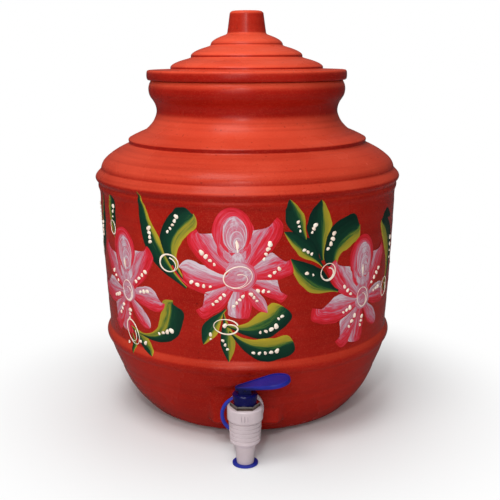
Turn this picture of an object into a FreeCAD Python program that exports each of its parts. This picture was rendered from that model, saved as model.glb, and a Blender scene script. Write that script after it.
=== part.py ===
import FreeCAD, Part
import math
import os
import Sketcher

# A clay water pot with a lift-off lid and a press-lever tap.
# Millimetres, +Z up, the tap faces -Y, and the origin is the centre of the face that the pot stands on.

SIZES = {
    # Pot outside, from the foot up: radii, the rise of each zone, and each curve's swell from its chord
    "foot_radius": 88.0,
    "heel_radius": 105.6,
    "heel_rise": 6.0,
    "heel_swell": 1.8,
    "low_bowl_inset": 14.7,
    "low_bowl_rise": 41.0,
    "low_bowl_swell": 3.9,
    "body_radius": 145.9,
    "bowl_inset": 5.2,
    "bowl_rise": 25.5,
    "bowl_swell": 0.7,
    "lower_ridge_rise": 13.5,
    "lower_ridge_swell": 3.6,
    "band_inset": 5.6,
    "band_rise": 136.0,
    "band_swell": 0.7,
    "bead_rise": 7.8,
    "bead_swell": 1.2,
    "ridge_foot_step": 0.5,
    "upper_ridge_rise": 7.8,
    "upper_ridge_step": 2.4,
    "upper_ridge_swell": 2.4,
    "shoulder_foot_rise": 4.2,
    "shoulder_inset": 1.8,
    "shoulder_step_radius": 115.8,
    "shoulder_rise": 23.7,
    "shoulder_swell": 6.9,
    "step_height": 4.3,
    "step_overhang": 1.0,
    "neck_foot_radius": 100.0,
    "neck_foot_rise": 8.0,
    "neck_foot_swell": 1.0,
    "neck_rise": 30.7,
    "neck_waist_depth": 7.7,
    "rim_radius": 93.1,
    "lip_rise": 16.5,
    "lip_swell": 2.6,
    # Pot inside
    "wall": 8.5,
    "floor_thickness": 10.0,
    "shoulder_inner_swell": 5.5,
    "waist_inner_depth": 10.9,
    # Flat seat for the tap, built up below and cut in above, with a thickened wall behind it
    "seat_inset": 1.4,
    "seat_half_width": 28.0,
    "seat_below_tap": 15.5,
    "seat_above_tap": 14.0,
    "seat_draft": 24.0,
    "seat_root": 30.0,
    "seat_wall": 12.0,
    "seat_recess_margin": 2.2,
    "seat_recess_depth": 16.0,
    "seat_recess_flare": 9.0,
    "inner_boss_radius": 20.0,
    "inner_boss_flare": 6.0,
    "inner_boss_root": 7.0,
    "inner_boss_rim": 0.8,
    "inner_recess_margin": 2.4,
    "inner_recess_depth": 16.0,
    "tail_hole_clearance": 0.8,
    # Lid: a flat flange, three rounded tiers, a tapered knob, a spigot that drops into the mouth
    "lid_gap": 0.3,
    "lid_radius": 96.7,
    "lid_edge_height": 8.6,
    "lid_edge_bevel": 1.0,
    "lid_flange_fall": 0.8,
    "low_tier_radius": 73.6,
    "low_tier_rise": 10.4,
    "low_tier_swell": 6.2,
    "mid_tier_radius": 53.6,
    "mid_tier_rise": 11.2,
    "mid_tier_swell": 5.4,
    "top_tier_radius": 34.7,
    "top_tier_rise": 10.8,
    "top_tier_swell": 4.1,
    "tier_step": 0.8,
    "knob_base_radius": 18.7,
    "knob_top_radius": 16.2,
    "knob_height": 21.9,
    "knob_round": 2.6,
    "spigot_clearance": 3.0,
    "spigot_depth": 9.0,
    "spigot_thickness": 8.0,
    "lid_hollow_roof_radius": 14.0,
    "lid_hollow_rise": 20.0,
    "lid_hollow_swell": 12.0,
    # Tap body: heights hang from the tail axis
    "tap_height": 40.0,
    "outer_washer_thickness": 1.8,
    "inner_washer_thickness": 2.0,
    "washer_radius": 14.8,
    "washer_bore_clearance": 0.2,
    "flange_radius": 16.3,
    "flange_thickness": 2.5,
    "neck_radius": 9.6,
    "neck_length": 10.9,
    "tail_radius": 8.0,
    "tail_beyond_nut": 5.5,
    "tail_bore": 4.5,
    "barrel_radius": 15.5,
    "barrel_head_height": 11.0,
    "barrel_top_round": 1.0,
    "collar_radius": 14.3,
    "collar_foot_radius": 13.3,
    "collar_step": 1.2,
    "rib_pitch": 3.9,
    "rib_land": 2.9,
    "rib_depth": 0.55,
    "skirt_rise": 4.5,
    "spout_drop": 38.2,
    "spout_length": 16.0,
    "spout_top_radius": 9.3,
    "spout_end_radius": 7.5,
    "spout_bore": 5.6,
    "seat_bore": 5.0,
    "seat_height_above_spout": 6.0,
    "chamber_radius": 10.0,
    "mouth_thread_radius": 11.4,
    "mouth_thread_depth": 8.0,
    "mark_width": 0.9,
    "mark_height": 6.5,
    "mark_pitch": 3.3,
    "mark_relief": 0.45,
    "mark_below_top": 3.2,
    # Tail nut
    "nut_corner_radius": 14.6,
    "nut_thickness": 8.0,
    "thread_clearance": 0.1,
    # Gland nut and bonnet
    "gland_corner_radius": 13.4,
    "gland_head_height": 3.6,
    "gland_bevel": 0.9,
    "gland_sleeve_depth": 7.0,
    "gland_wall": 2.0,
    "bonnet_foot_radius": 10.1,
    "bonnet_top_radius": 10.9,
    "bonnet_height": 8.4,
    "bonnet_round": 1.2,
    "bonnet_roof": 6.0,
    "bonnet_spigot_wall": 2.6,
    "bonnet_spigot_beyond": 1.5,
    "bonnet_fit": 0.05,
    # Valve stem, its seals and its spring
    "stem_radius": 3.0,
    "running_clearance": 0.06,
    "stem_head_radius": 2.2,
    "stem_head_thickness": 4.0,
    "stem_eye_drop": 4.6,
    "stem_collar_radius": 5.8,
    "stem_collar_thickness": 1.8,
    "stem_foot_radius": 4.4,
    "stem_foot_thickness": 1.6,
    "seal_radius": 8.4,
    "seal_thickness": 5.0,
    "seal_lip": 1.4,
    "seal_gap": 0.2,
    "seal_crown": 1.6,
    "foot_gap": 0.08,
    "ring_section_radius": 0.85,
    "ring_groove_above_roof": 1.8,
    "ring_slack": 0.08,
    "spring_wire_radius": 0.45,
    "spring_turns": 8.0,
    "spring_radial_gap": 0.6,
    "spring_end_gap": 0.05,
    # Lever
    "pin_radius": 1.0,
    "pin_above_bonnet": 3.2,
    "pin_end_inset": 0.3,
    "pin_fit": 0.02,
    "hub_half_length": 5.4,
    "hub_width": 9.4,
    "hub_gap": 0.2,
    "fork_gap": 0.2,
    "fork_slot_radius": 2.5,
    "paddle_above_pin": 0.7,
    "paddle_thickness": 3.2,
    "paddle_heel_back": 4.4,
    "paddle_heel_radius": 3.9,
    "paddle_tip_forward": 26.2,
    "paddle_tip_radius": 14.0,
    "paddle_edge_round": 1.0,
    "paddle_rim_width": 1.8,
    "paddle_dish_depth": 0.6,
    "lever_rise_angle": 10.0,
    "lever_turn_angle": 3.0,
    # Spout cap and its tether
    "cap_radius": 11.2,
    "cap_thickness": 1.2,
    "cap_gap": 0.15,
    "plug_radius_gap": 0.08,
    "plug_height": 5.5,
    "plug_round": 1.0,
    "loop_inner_radius": 15.1,
    "loop_section_radius": 1.65,
    "loop_from_flange": 5.9,
    "loop_hang_gap": 0.1,
    "loop_swing": 51.0,
    "strap_width": 4.0,
    "strap_thickness": 1.2,
    "strap_bend": 7.0,
    "strap_foot_run": 3.0,
}


class Length:
    """A number of millimetres or degrees that keeps the sheet formula it came from."""

    def __init__(self, value, formula):
        self.value = value
        self.formula = formula

    def __add__(self, other):
        return Length(self.value + number(other), f"({self.formula} + {formula(other)})")

    def __radd__(self, other):
        return Length(number(other) + self.value, f"({formula(other)} + {self.formula})")

    def __sub__(self, other):
        return Length(self.value - number(other), f"({self.formula} - {formula(other)})")

    def __rsub__(self, other):
        return Length(number(other) - self.value, f"({formula(other)} - {self.formula})")

    def __mul__(self, other):
        return Length(self.value * number(other), f"({self.formula} * {formula(other)})")

    __rmul__ = __mul__

    def __truediv__(self, other):
        return Length(self.value / number(other), f"({self.formula} / {formula(other)})")

    def __neg__(self):
        return Length(-self.value, f"(0 - {self.formula})")


def number(amount):
    return amount.value if isinstance(amount, Length) else float(amount)


def formula(amount):
    return amount.formula if isinstance(amount, Length) else repr(float(amount))


def cosine(angle):
    return Length(math.cos(math.radians(angle.value)), f"cos({angle.formula} * 1 deg)")


def sine(angle):
    return Length(math.sin(math.radians(angle.value)), f"sin({angle.formula} * 1 deg)")


def tangent(angle):
    return Length(math.tan(math.radians(angle.value)), f"tan({angle.formula} * 1 deg)")


def root(amount):
    return Length(math.sqrt(amount.value), f"sqrt({amount.formula})")


# Document and sheet
doc = FreeCAD.newDocument("ClayWaterPot")
sheet = doc.addObject("Spreadsheet::Sheet", "Sizes")
for row, (size_name, size_value) in enumerate(SIZES.items(), start=1):
    sheet.set(f"A{row}", size_name)
    sheet.set(f"B{row}", str(size_value))
    sheet.setAlias(f"B{row}", size_name)
doc.recompute()


class Sheet:
    """Reads a size by its name, as in d.wall."""

    def __getattr__(self, name):
        return Length(SIZES[name], f"Sizes.{name}")


d = Sheet()
parts = []


def bind(item, **amounts):
    """Ties properties of an object to sizes in the sheet."""
    for name, amount in amounts.items():
        setattr(item, name, number(amount))
        item.setExpression(name, formula(amount))


def place(item, x=0, y=0, z=0, rotation=None):
    """Puts an object at a place tied to the sheet, turned by a fixed rotation."""
    turn = rotation or FreeCAD.Rotation()
    item.Placement = FreeCAD.Placement(FreeCAD.Vector(number(x), number(y), number(z)), turn)
    for axis, amount in (("x", x), ("y", y), ("z", z)):
        item.setExpression(f"Placement.Base.{axis}", formula(amount))


def finish(item, label):
    """Marks an object as a sub-part of the pot."""
    item.Label = label
    parts.append(item)


# Along -Y, the way out through the wall, and along +Y, the way in
OUTWARD = FreeCAD.Rotation(FreeCAD.Vector(1, 0, 0), 90)
INWARD = FreeCAD.Rotation(FreeCAD.Vector(1, 0, 0), -90)


# Sketch outlines
def corner(x, y):
    return ("line", x, y, None)


def curve(x, y, swell):
    """An arc to (x, y) whose middle stands the swell away from the middle of its chord, along x."""
    return ("arc", x, y, swell)


def circle_through(a, b, c):
    """Centre and radius of the circle through three points."""
    ax, ay = a
    bx, by = b
    cx, cy = c
    twice_area = 2 * (ax * (by - cy) + bx * (cy - ay) + cx * (ay - by))
    sa = ax * ax + ay * ay
    sb = bx * bx + by * by
    sc = cx * cx + cy * cy
    ux = (sa * (by - cy) + sb * (cy - ay) + sc * (ay - by)) / twice_area
    uy = (sa * (cx - bx) + sb * (ax - cx) + sc * (bx - ax)) / twice_area
    return ux, uy, math.hypot(ax - ux, ay - uy)


class Outline:
    """Draws one closed outline in a sketch and ties every point to the sheet."""

    def __init__(self, sketch):
        self.sketch = sketch
        self.constraints = []
        self.formulas = []

    def fix(self, kind, geometry, end, amount):
        """Holds one coordinate of a point: on the axis for a plain zero, else at a distance."""
        if not isinstance(amount, Length) and amount == 0:
            axis = -2 if kind == "DistanceX" else -1
            self.constraints.append(Sketcher.Constraint("PointOnObject", geometry, end, axis))
            return
        self.formulas.append((len(self.constraints), formula(amount)))
        self.constraints.append(Sketcher.Constraint(kind, geometry, end, number(amount)))

    def draw(self, start, steps):
        points = [start] + [(x, y) for _, x, y, _ in steps]
        ends = []
        for index, (kind, x, y, swell) in enumerate(steps):
            here = points[index]
            a = (number(here[0]), number(here[1]))
            b = (number(x), number(y))
            if kind == "line":
                segment = Part.LineSegment(FreeCAD.Vector(*a), FreeCAD.Vector(*b))
                ends.append((self.sketch.addGeometry(segment, False), 1, 2))
                continue
            middle = (here[0] + x) / 2 + swell, (here[1] + y) / 2
            m = (number(middle[0]), number(middle[1]))
            ux, uy, radius = circle_through(a, m, b)
            turn = (m[0] - a[0]) * (b[1] - a[1]) - (m[1] - a[1]) * (b[0] - a[0])
            first, last = (a, b) if turn > 0 else (b, a)
            begin = math.atan2(first[1] - uy, first[0] - ux)
            stop = math.atan2(last[1] - uy, last[0] - ux)
            if stop < begin:
                stop += 2 * math.pi
            circle = Part.Circle(FreeCAD.Vector(ux, uy), FreeCAD.Vector(0, 0, 1), radius)
            arc = self.sketch.addGeometry(Part.ArcOfCircle(circle, begin, stop), False)
            ends.append((arc, 1, 2) if turn > 0 else (arc, 2, 1))
            point = self.sketch.addGeometry(Part.Point(FreeCAD.Vector(*m)), True)
            self.constraints.append(Sketcher.Constraint("PointOnObject", point, 1, arc))
            self.fix("DistanceX", point, 1, middle[0])
            self.fix("DistanceY", point, 1, middle[1])
        for index, (geometry, first_end, _) in enumerate(ends):
            before, _, last_end = ends[index - 1]
            self.constraints.append(
                Sketcher.Constraint("Coincident", before, last_end, geometry, first_end)
            )
            self.fix("DistanceX", geometry, first_end, points[index][0])
            self.fix("DistanceY", geometry, first_end, points[index][1])

    def trail(self, points):
        """Draws an open run of straight lines."""
        before = None
        for here, there in zip(points, points[1:]):
            a = FreeCAD.Vector(number(here[0]), number(here[1]))
            b = FreeCAD.Vector(number(there[0]), number(there[1]))
            line = self.sketch.addGeometry(Part.LineSegment(a, b), False)
            if before is not None:
                self.constraints.append(Sketcher.Constraint("Coincident", before, 2, line, 1))
            self.fix("DistanceX", line, 1, here[0])
            self.fix("DistanceY", line, 1, here[1])
            before = line
        self.fix("DistanceX", before, 2, points[-1][0])
        self.fix("DistanceY", before, 2, points[-1][1])

    def round_hole(self, radius, x=0, y=0):
        """Adds a full circle."""
        centre = FreeCAD.Vector(number(x), number(y))
        circle = self.sketch.addGeometry(Part.Circle(centre, FreeCAD.Vector(0, 0, 1), number(radius)), False)
        self.formulas.append((len(self.constraints), formula(radius)))
        self.constraints.append(Sketcher.Constraint("Radius", circle, number(radius)))
        self.fix("DistanceX", circle, 3, x)
        self.fix("DistanceY", circle, 3, y)

    def close(self):
        self.sketch.addConstraint(self.constraints)
        for index, text in self.formulas:
            self.sketch.setExpression(f"Constraints[{index}]", text)


def new_body(name):
    return doc.addObject("PartDesign::Body", name)


def new_sketch(body, name, role="XZ_Plane", lift=None):
    """A sketch on one of the body's own origin planes, moved along its normal by the lift."""
    sketch = body.newObject("Sketcher::SketchObject", name)
    plane = next(item for item in body.Origin.OriginFeatures if item.Role == role)
    sketch.AttachmentSupport = (plane, [""])
    sketch.MapMode = "FlatFace"
    if lift is not None:
        sketch.AttachmentOffset = FreeCAD.Placement(
            FreeCAD.Vector(0, 0, number(lift)), FreeCAD.Rotation()
        )
        sketch.setExpression("AttachmentOffset.Base.z", formula(lift))
    return sketch


def draw_outline(body, name, start, steps, role="XZ_Plane", lift=None):
    sketch = new_sketch(body, name, role, lift)
    outline = Outline(sketch)
    outline.draw(start, steps)
    outline.close()
    return sketch


def turned(body, name, start, steps, cut=False):
    """Spins an outline in the XZ plane round the body's own Z axis, adding or cutting."""
    sketch = draw_outline(body, name + "Outline", start, steps)
    kind = "PartDesign::Groove" if cut else "PartDesign::Revolution"
    feature = body.newObject(kind, name)
    feature.Profile = sketch
    feature.ReferenceAxis = (sketch, ["V_Axis"])
    feature.Angle = 360
    sketch.Visibility = False
    return feature


def primitive(body, kind, name, x=0, y=0, z=0, rotation=None, **amounts):
    """Adds or cuts a plain cylinder, cone, box or ring at a place tied to the sheet."""
    feature = body.newObject(f"PartDesign::{kind}", name)
    bind(feature, **amounts)
    place(feature, x, y, z, rotation)
    return feature


def edges_where(feature, test):
    """Names of a feature's edges that pass a test."""
    return [f"Edge{index}" for index, edge in enumerate(feature.Shape.Edges, start=1) if test(edge)]


def dress(body, kind, name, base, edges, **amounts):
    """A fillet or chamfer on named edges of a feature."""
    feature = body.newObject(f"PartDesign::{kind}", name)
    feature.Base = (base, edges)
    bind(feature, **amounts)
    return feature


def is_near(a, b, slack=0.01):
    return abs(a - b) < slack


# Heights and reaches that several sub-parts share
heel_top = d.heel_rise
low_bowl_top = heel_top + d.low_bowl_rise
bowl_top = low_bowl_top + d.bowl_rise
ridge_top = bowl_top + d.lower_ridge_rise
band_top = ridge_top + d.band_rise
bead_top = band_top + d.bead_rise
upper_ridge_top = bead_top + d.upper_ridge_rise
shoulder_foot = upper_ridge_top + d.shoulder_foot_rise
shoulder_top = shoulder_foot + d.shoulder_rise
step_top = shoulder_top + d.step_height
neck_foot = step_top + d.neck_foot_rise
lip_foot = neck_foot + d.neck_rise
rim_top = lip_foot + d.lip_rise
mouth_radius = d.rim_radius - d.wall

low_bowl_radius = d.body_radius - d.low_bowl_inset
seat_reach = low_bowl_radius - d.seat_inset
flange_back = seat_reach + d.outer_washer_thickness
flange_front = flange_back + d.flange_thickness
barrel_reach = flange_front + d.neck_length + d.barrel_radius
wall_back = seat_reach - d.seat_wall
nut_front = wall_back - d.inner_washer_thickness
nut_back = nut_front - d.nut_thickness
tail_end = nut_back - d.tail_beyond_nut

spout_end = d.tap_height - d.spout_drop
spout_top = spout_end + d.spout_length
skirt_top = spout_top + d.skirt_rise
valve_seat = spout_top + d.seat_height_above_spout
RIB_COUNT = 5
collar_top = skirt_top + d.rib_pitch * RIB_COUNT
head_foot = collar_top + d.collar_step
barrel_top = head_foot + d.barrel_head_height
gland_top = barrel_top + d.gland_head_height
bonnet_top = gland_top + d.bonnet_height
roof_under = bonnet_top - d.bonnet_roof
pin_height = bonnet_top + d.pin_above_bonnet
seal_foot = valve_seat + d.seal_gap
seal_top = seal_foot + d.seal_thickness
spring_foot = seal_top + d.seal_crown + d.stem_collar_thickness


# Pot
def make_pot():
    body = new_body("PotBody")
    bowl_radius = d.body_radius - d.bowl_inset
    band_radius = d.body_radius - d.band_inset
    ridge_foot_radius = d.body_radius + d.ridge_foot_step
    shoulder_radius = d.body_radius - d.shoulder_inset
    turned(body, "PotOutside", (0, 0), [
        corner(d.foot_radius, 0),
        curve(d.heel_radius, heel_top, d.heel_swell),
        curve(low_bowl_radius, low_bowl_top, d.low_bowl_swell),
        curve(bowl_radius, bowl_top, d.bowl_swell),
        curve(band_radius, ridge_top, d.lower_ridge_swell),
        curve(d.body_radius, band_top, d.band_swell),
        curve(ridge_foot_radius, bead_top, d.bead_swell),
        curve(d.body_radius + d.upper_ridge_step, upper_ridge_top, d.upper_ridge_swell),
        corner(shoulder_radius, shoulder_foot),
        curve(d.shoulder_step_radius, shoulder_top, d.shoulder_swell),
        corner(d.shoulder_step_radius + d.step_overhang, step_top),
        curve(d.neck_foot_radius, neck_foot, d.neck_foot_swell),
        curve(d.rim_radius, lip_foot, -d.neck_waist_depth),
        curve(d.rim_radius, rim_top, d.lip_swell),
        corner(0, rim_top),
        corner(0, 0),
    ])

    # The seat stands proud of the bowl below the tap, and its sides slope back into the wall
    spread = d.seat_root * tangent(d.seat_draft)
    low = d.tap_height - d.seat_below_tap
    high = d.tap_height + d.seat_above_tap
    primitive(
        body, "AdditiveWedge", "SeatPad", y=-seat_reach,
        Xmin=-d.seat_half_width, Xmax=d.seat_half_width, Zmin=low, Zmax=high,
        Ymin=0, Ymax=d.seat_root,
        X2min=-d.seat_half_width - spread, X2max=d.seat_half_width + spread, Z2min=low - spread, Z2max=high,
    )

    turned(body, "Cavity", (0, d.floor_thickness), [
        corner(d.foot_radius - d.wall, d.floor_thickness),
        curve(d.heel_radius - d.wall, heel_top + d.floor_thickness, d.heel_swell),
        curve(low_bowl_radius - d.wall, low_bowl_top, d.low_bowl_swell),
        curve(bowl_radius - d.wall, bowl_top, d.bowl_swell),
        curve(d.body_radius - d.wall, band_top, d.band_swell),
        corner(shoulder_radius - d.wall, shoulder_foot),
        curve(d.shoulder_step_radius - d.wall / 2, shoulder_top - d.wall, d.shoulder_inner_swell),
        corner(d.neck_foot_radius - d.wall / 4, neck_foot - d.wall),
        curve(mouth_radius, lip_foot, -d.waist_inner_depth),
        corner(mouth_radius, rim_top + d.wall),
        corner(0, rim_top + d.wall),
        corner(0, d.floor_thickness),
    ], cut=True)

    # The wall is thicker behind the seat, and a flat recess in it takes the inner washer
    primitive(
        body, "AdditiveCone", "InnerBoss", y=-wall_back + d.inner_boss_rim, z=d.tap_height,
        rotation=OUTWARD, Radius1=d.inner_boss_radius, Radius2=d.inner_boss_radius + d.inner_boss_flare,
        Height=d.inner_boss_root + d.inner_boss_rim,
    )
    primitive(
        body, "SubtractiveCone", "SeatRecess", y=-seat_reach, z=d.tap_height, rotation=OUTWARD,
        Radius1=d.flange_radius + d.seat_recess_margin,
        Radius2=d.flange_radius + d.seat_recess_margin + d.seat_recess_flare,
        Height=d.seat_recess_depth,
    )
    primitive(
        body, "SubtractiveCylinder", "InnerRecess", y=-wall_back, z=d.tap_height, rotation=INWARD,
        Radius=d.nut_corner_radius + d.inner_recess_margin, Height=d.inner_recess_depth,
    )
    primitive(
        body, "SubtractiveCylinder", "TailHole", y=-wall_back + d.wall, z=d.tap_height, rotation=OUTWARD,
        Radius=d.tail_radius + d.tail_hole_clearance, Height=d.seat_wall + d.wall * 2,
    )
    finish(body, "pot_body")


# Lid
def make_lid():
    body = new_body("Lid")
    seat = rim_top + d.lid_gap
    edge_top = seat + d.lid_edge_height
    flange_top = edge_top + d.lid_edge_bevel
    low_foot = flange_top + d.lid_flange_fall
    low_top = low_foot + d.low_tier_rise
    mid_top = low_top + d.mid_tier_rise
    top_top = mid_top + d.top_tier_rise
    knob_edge = top_top + d.knob_height - d.knob_round
    knob_top = top_top + d.knob_height
    spigot_radius = mouth_radius - d.spigot_clearance
    hollow_radius = spigot_radius - d.spigot_thickness
    turned(body, "LidOutside", (0, seat - d.spigot_depth), [
        corner(spigot_radius, seat - d.spigot_depth),
        corner(spigot_radius, seat),
        corner(d.lid_radius - d.lid_edge_bevel, seat),
        corner(d.lid_radius, seat + d.lid_edge_bevel),
        corner(d.lid_radius, edge_top),
        corner(d.lid_radius - d.lid_edge_bevel, flange_top),
        corner(d.low_tier_radius, low_foot),
        curve(d.mid_tier_radius + d.tier_step, low_top, d.low_tier_swell),
        corner(d.mid_tier_radius, low_top + d.tier_step),
        curve(d.top_tier_radius + d.tier_step, mid_top, d.mid_tier_swell),
        corner(d.top_tier_radius, mid_top + d.tier_step),
        curve(d.knob_base_radius + d.tier_step, top_top, d.top_tier_swell),
        corner(d.knob_base_radius, top_top + d.tier_step),
        corner(d.knob_top_radius, knob_edge),
        corner(d.knob_top_radius - d.knob_round, knob_top),
        corner(0, knob_top),
        corner(0, seat - d.spigot_depth),
    ])
    turned(body, "LidHollow", (0, seat - d.spigot_depth - d.wall), [
        corner(hollow_radius, seat - d.spigot_depth - d.wall),
        corner(hollow_radius, seat),
        curve(d.lid_hollow_roof_radius, seat + d.lid_hollow_rise, d.lid_hollow_swell),
        corner(0, seat + d.lid_hollow_rise),
        corner(0, seat - d.spigot_depth - d.wall),
    ], cut=True)
    finish(body, "lid")


# Tap body: one moulding with the barrel, spout, neck, flange and threaded tail
def make_tap_body():
    body = new_body("TapBody")
    outside = [
        corner(d.spout_end_radius, spout_end),
        corner(d.spout_top_radius, spout_top),
        corner(d.collar_foot_radius, skirt_top),
    ]
    taper = (d.collar_radius - d.collar_foot_radius) / RIB_COUNT
    groove_half = (d.rib_pitch - d.rib_land) / 2
    for rib in range(RIB_COUNT):
        foot = skirt_top + d.rib_pitch * rib
        radius = d.collar_foot_radius + taper * (rib + 1)
        outside.append(corner(radius, foot + d.rib_land))
        outside.append(corner(radius - d.rib_depth, foot + d.rib_land + groove_half))
        if rib < RIB_COUNT - 1:
            outside.append(corner(radius, foot + d.rib_pitch))
    outside += [
        corner(d.collar_radius, collar_top),
        corner(d.barrel_radius, head_foot),
        corner(d.barrel_radius, barrel_top - d.barrel_top_round),
        corner(d.barrel_radius - d.barrel_top_round, barrel_top),
        corner(0, barrel_top),
        corner(0, spout_end),
    ]
    turned(body, "BarrelOutside", (0, spout_end), outside)

    # Neck, flange and tail run from the barrel's axis towards the pot
    neck_reach = d.barrel_radius + d.neck_length
    primitive(
        body, "AdditiveCylinder", "Neck", z=d.tap_height, rotation=INWARD,
        Radius=d.neck_radius, Height=neck_reach + d.flange_thickness / 2,
    )
    primitive(
        body, "AdditiveCylinder", "Flange", y=neck_reach, z=d.tap_height, rotation=INWARD,
        Radius=d.flange_radius, Height=d.flange_thickness,
    )
    tail_root = neck_reach + d.flange_thickness / 2
    primitive(
        body, "AdditiveCylinder", "Tail", y=tail_root, z=d.tap_height, rotation=INWARD,
        Radius=d.tail_radius, Height=barrel_reach - tail_root - tail_end,
    )

    # Three short upright marks on the front of the barrel's head
    mark = primitive(
        body, "AdditiveBox", "Mark", x=-d.mark_pitch - d.mark_width / 2, y=-d.barrel_radius - d.mark_relief,
        z=barrel_top - d.mark_below_top - d.mark_height,
        Length=d.mark_width, Width=d.mark_relief + d.barrel_radius / 8, Height=d.mark_height,
    )
    doc.recompute()
    row = body.newObject("PartDesign::LinearPattern", "MarkRow")
    row.Originals = [mark]
    row.Direction = (next(item for item in body.Origin.OriginFeatures if item.Role == "X_Axis"), [""])
    row.Occurrences = 3
    bind(row, Length=d.mark_pitch * 2)
    body.Tip = row

    turned(body, "Chamber", (0, spout_end - d.wall), [
        corner(d.spout_bore, spout_end - d.wall),
        corner(d.spout_bore, spout_top),
        corner(d.seat_bore, valve_seat),
        corner(d.chamber_radius, valve_seat),
        corner(d.chamber_radius, barrel_top - d.mouth_thread_depth),
        corner(d.mouth_thread_radius, barrel_top - d.mouth_thread_depth),
        corner(d.mouth_thread_radius, barrel_top + d.wall),
        corner(0, barrel_top + d.wall),
        corner(0, spout_end - d.wall),
    ], cut=True)
    primitive(
        body, "SubtractiveCylinder", "TailBore", z=d.tap_height, rotation=INWARD,
        Radius=d.tail_bore, Height=barrel_reach,
    )
    place(body, y=-barrel_reach)
    finish(body, "tap_body")


# Washers
def make_washer(label, radius, thickness, reach):
    body = new_body(label.title().replace("_", ""))
    sketch = new_sketch(body, body.Name + "Outline", role="XY_Plane")
    outline = Outline(sketch)
    outline.round_hole(radius)
    outline.round_hole(d.tail_radius + d.washer_bore_clearance)
    outline.close()
    pad = body.newObject("PartDesign::Pad", body.Name + "Pad")
    pad.Profile = sketch
    bind(pad, Length=thickness)
    sketch.Visibility = False
    place(body, y=-reach, z=d.tap_height, rotation=OUTWARD)
    finish(body, label)


# Hexagon nuts, from plain solids
def solid(kind, name, x=0, y=0, z=0, rotation=None, **amounts):
    item = doc.addObject(f"Part::{kind}", name)
    bind(item, **amounts)
    place(item, x, y, z, rotation)
    return item


def combine(kind, name, base, tool):
    item = doc.addObject(f"Part::{kind}", name)
    item.Base = base
    item.Tool = tool
    return item


def bevelled_hexagon(name, corner_radius, height, bevel):
    """A hexagon bar whose top corners are turned off by a cone."""
    bar = solid("Prism", name + "Bar", Circumradius=corner_radius, Height=height)
    bar.Polygon = 6
    steep = 3
    cone = solid(
        "Cone", name + "Cone", Height=height,
        Radius1=corner_radius + height * steep, Radius2=corner_radius - bevel,
    )
    turned_bar = doc.addObject("Part::MultiCommon", name + "Bevelled")
    turned_bar.Shapes = [bar, cone]
    return turned_bar


def make_tail_nut():
    bar = bevelled_hexagon("TailNut", d.nut_corner_radius, d.nut_thickness, d.gland_bevel)
    bore = solid(
        "Cylinder", "TailNutBore", z=-d.wall, Radius=d.tail_radius + d.thread_clearance,
        Height=d.nut_thickness + d.wall * 2,
    )
    nut = combine("Cut", "TailNut", bar, bore)
    # The bevelled side faces into the pot
    place(nut, y=-nut_front, z=d.tap_height, rotation=INWARD)
    finish(nut, "tail_nut")


def make_gland_nut():
    head = bevelled_hexagon("GlandNut", d.gland_corner_radius, d.gland_head_height, d.gland_bevel)
    sleeve = solid(
        "Cylinder", "GlandSleeve", z=-d.gland_sleeve_depth,
        Radius=d.mouth_thread_radius - d.thread_clearance,
        Height=d.gland_sleeve_depth + d.gland_head_height / 2,
    )
    whole = combine("Fuse", "GlandWhole", head, sleeve)
    bore = solid(
        "Cylinder", "GlandBore", z=-d.gland_sleeve_depth * 2, Radius=d.mouth_thread_radius - d.gland_wall,
        Height=d.gland_sleeve_depth * 2 + d.gland_head_height * 2,
    )
    nut = combine("Cut", "GlandNut", whole, bore)
    place(nut, y=-barrel_reach, z=barrel_top)
    finish(nut, "gland_nut")


# Bonnet: the blue drum on the gland nut, with the stem's guide in its roof
def make_bonnet():
    body = new_body("Bonnet")
    spigot_radius = d.mouth_thread_radius - d.gland_wall - d.bonnet_fit
    spigot_foot = barrel_top - d.gland_sleeve_depth - d.bonnet_spigot_beyond
    turned(body, "BonnetOutside", (0, spigot_foot), [
        corner(spigot_radius, spigot_foot),
        corner(spigot_radius, gland_top),
        corner(d.bonnet_foot_radius, gland_top),
        corner(d.bonnet_top_radius, bonnet_top - d.bonnet_round),
        curve(d.bonnet_top_radius - d.bonnet_round, bonnet_top, d.bonnet_round / 4),
        corner(0, bonnet_top),
        corner(0, spigot_foot),
    ])
    guide = d.stem_radius + d.running_clearance
    groove_low = roof_under + d.ring_groove_above_roof
    groove_high = groove_low + (d.ring_section_radius + d.ring_slack) * 2
    groove_radius = guide + d.ring_section_radius * 2 + d.ring_slack
    hollow = spigot_radius - d.bonnet_spigot_wall
    turned(body, "BonnetHollow", (0, spigot_foot - d.wall), [
        corner(hollow, spigot_foot - d.wall),
        corner(hollow, roof_under),
        corner(guide, roof_under),
        corner(guide, groove_low),
        corner(groove_radius, groove_low),
        corner(groove_radius, groove_high),
        corner(guide, groove_high),
        corner(guide, bonnet_top + d.wall),
        corner(0, bonnet_top + d.wall),
        corner(0, spigot_foot - d.wall),
    ], cut=True)
    place(body, y=-barrel_reach)
    finish(body, "bonnet")


def make_stem_seal():
    ring = solid(
        "Torus", "StemSeal",
        Radius1=d.stem_radius + d.running_clearance + d.ring_section_radius, Radius2=d.ring_section_radius,
    )
    middle = roof_under + d.ring_groove_above_roof + d.ring_section_radius + d.ring_slack
    place(ring, y=-barrel_reach, z=middle)
    finish(ring, "stem_seal")


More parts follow.
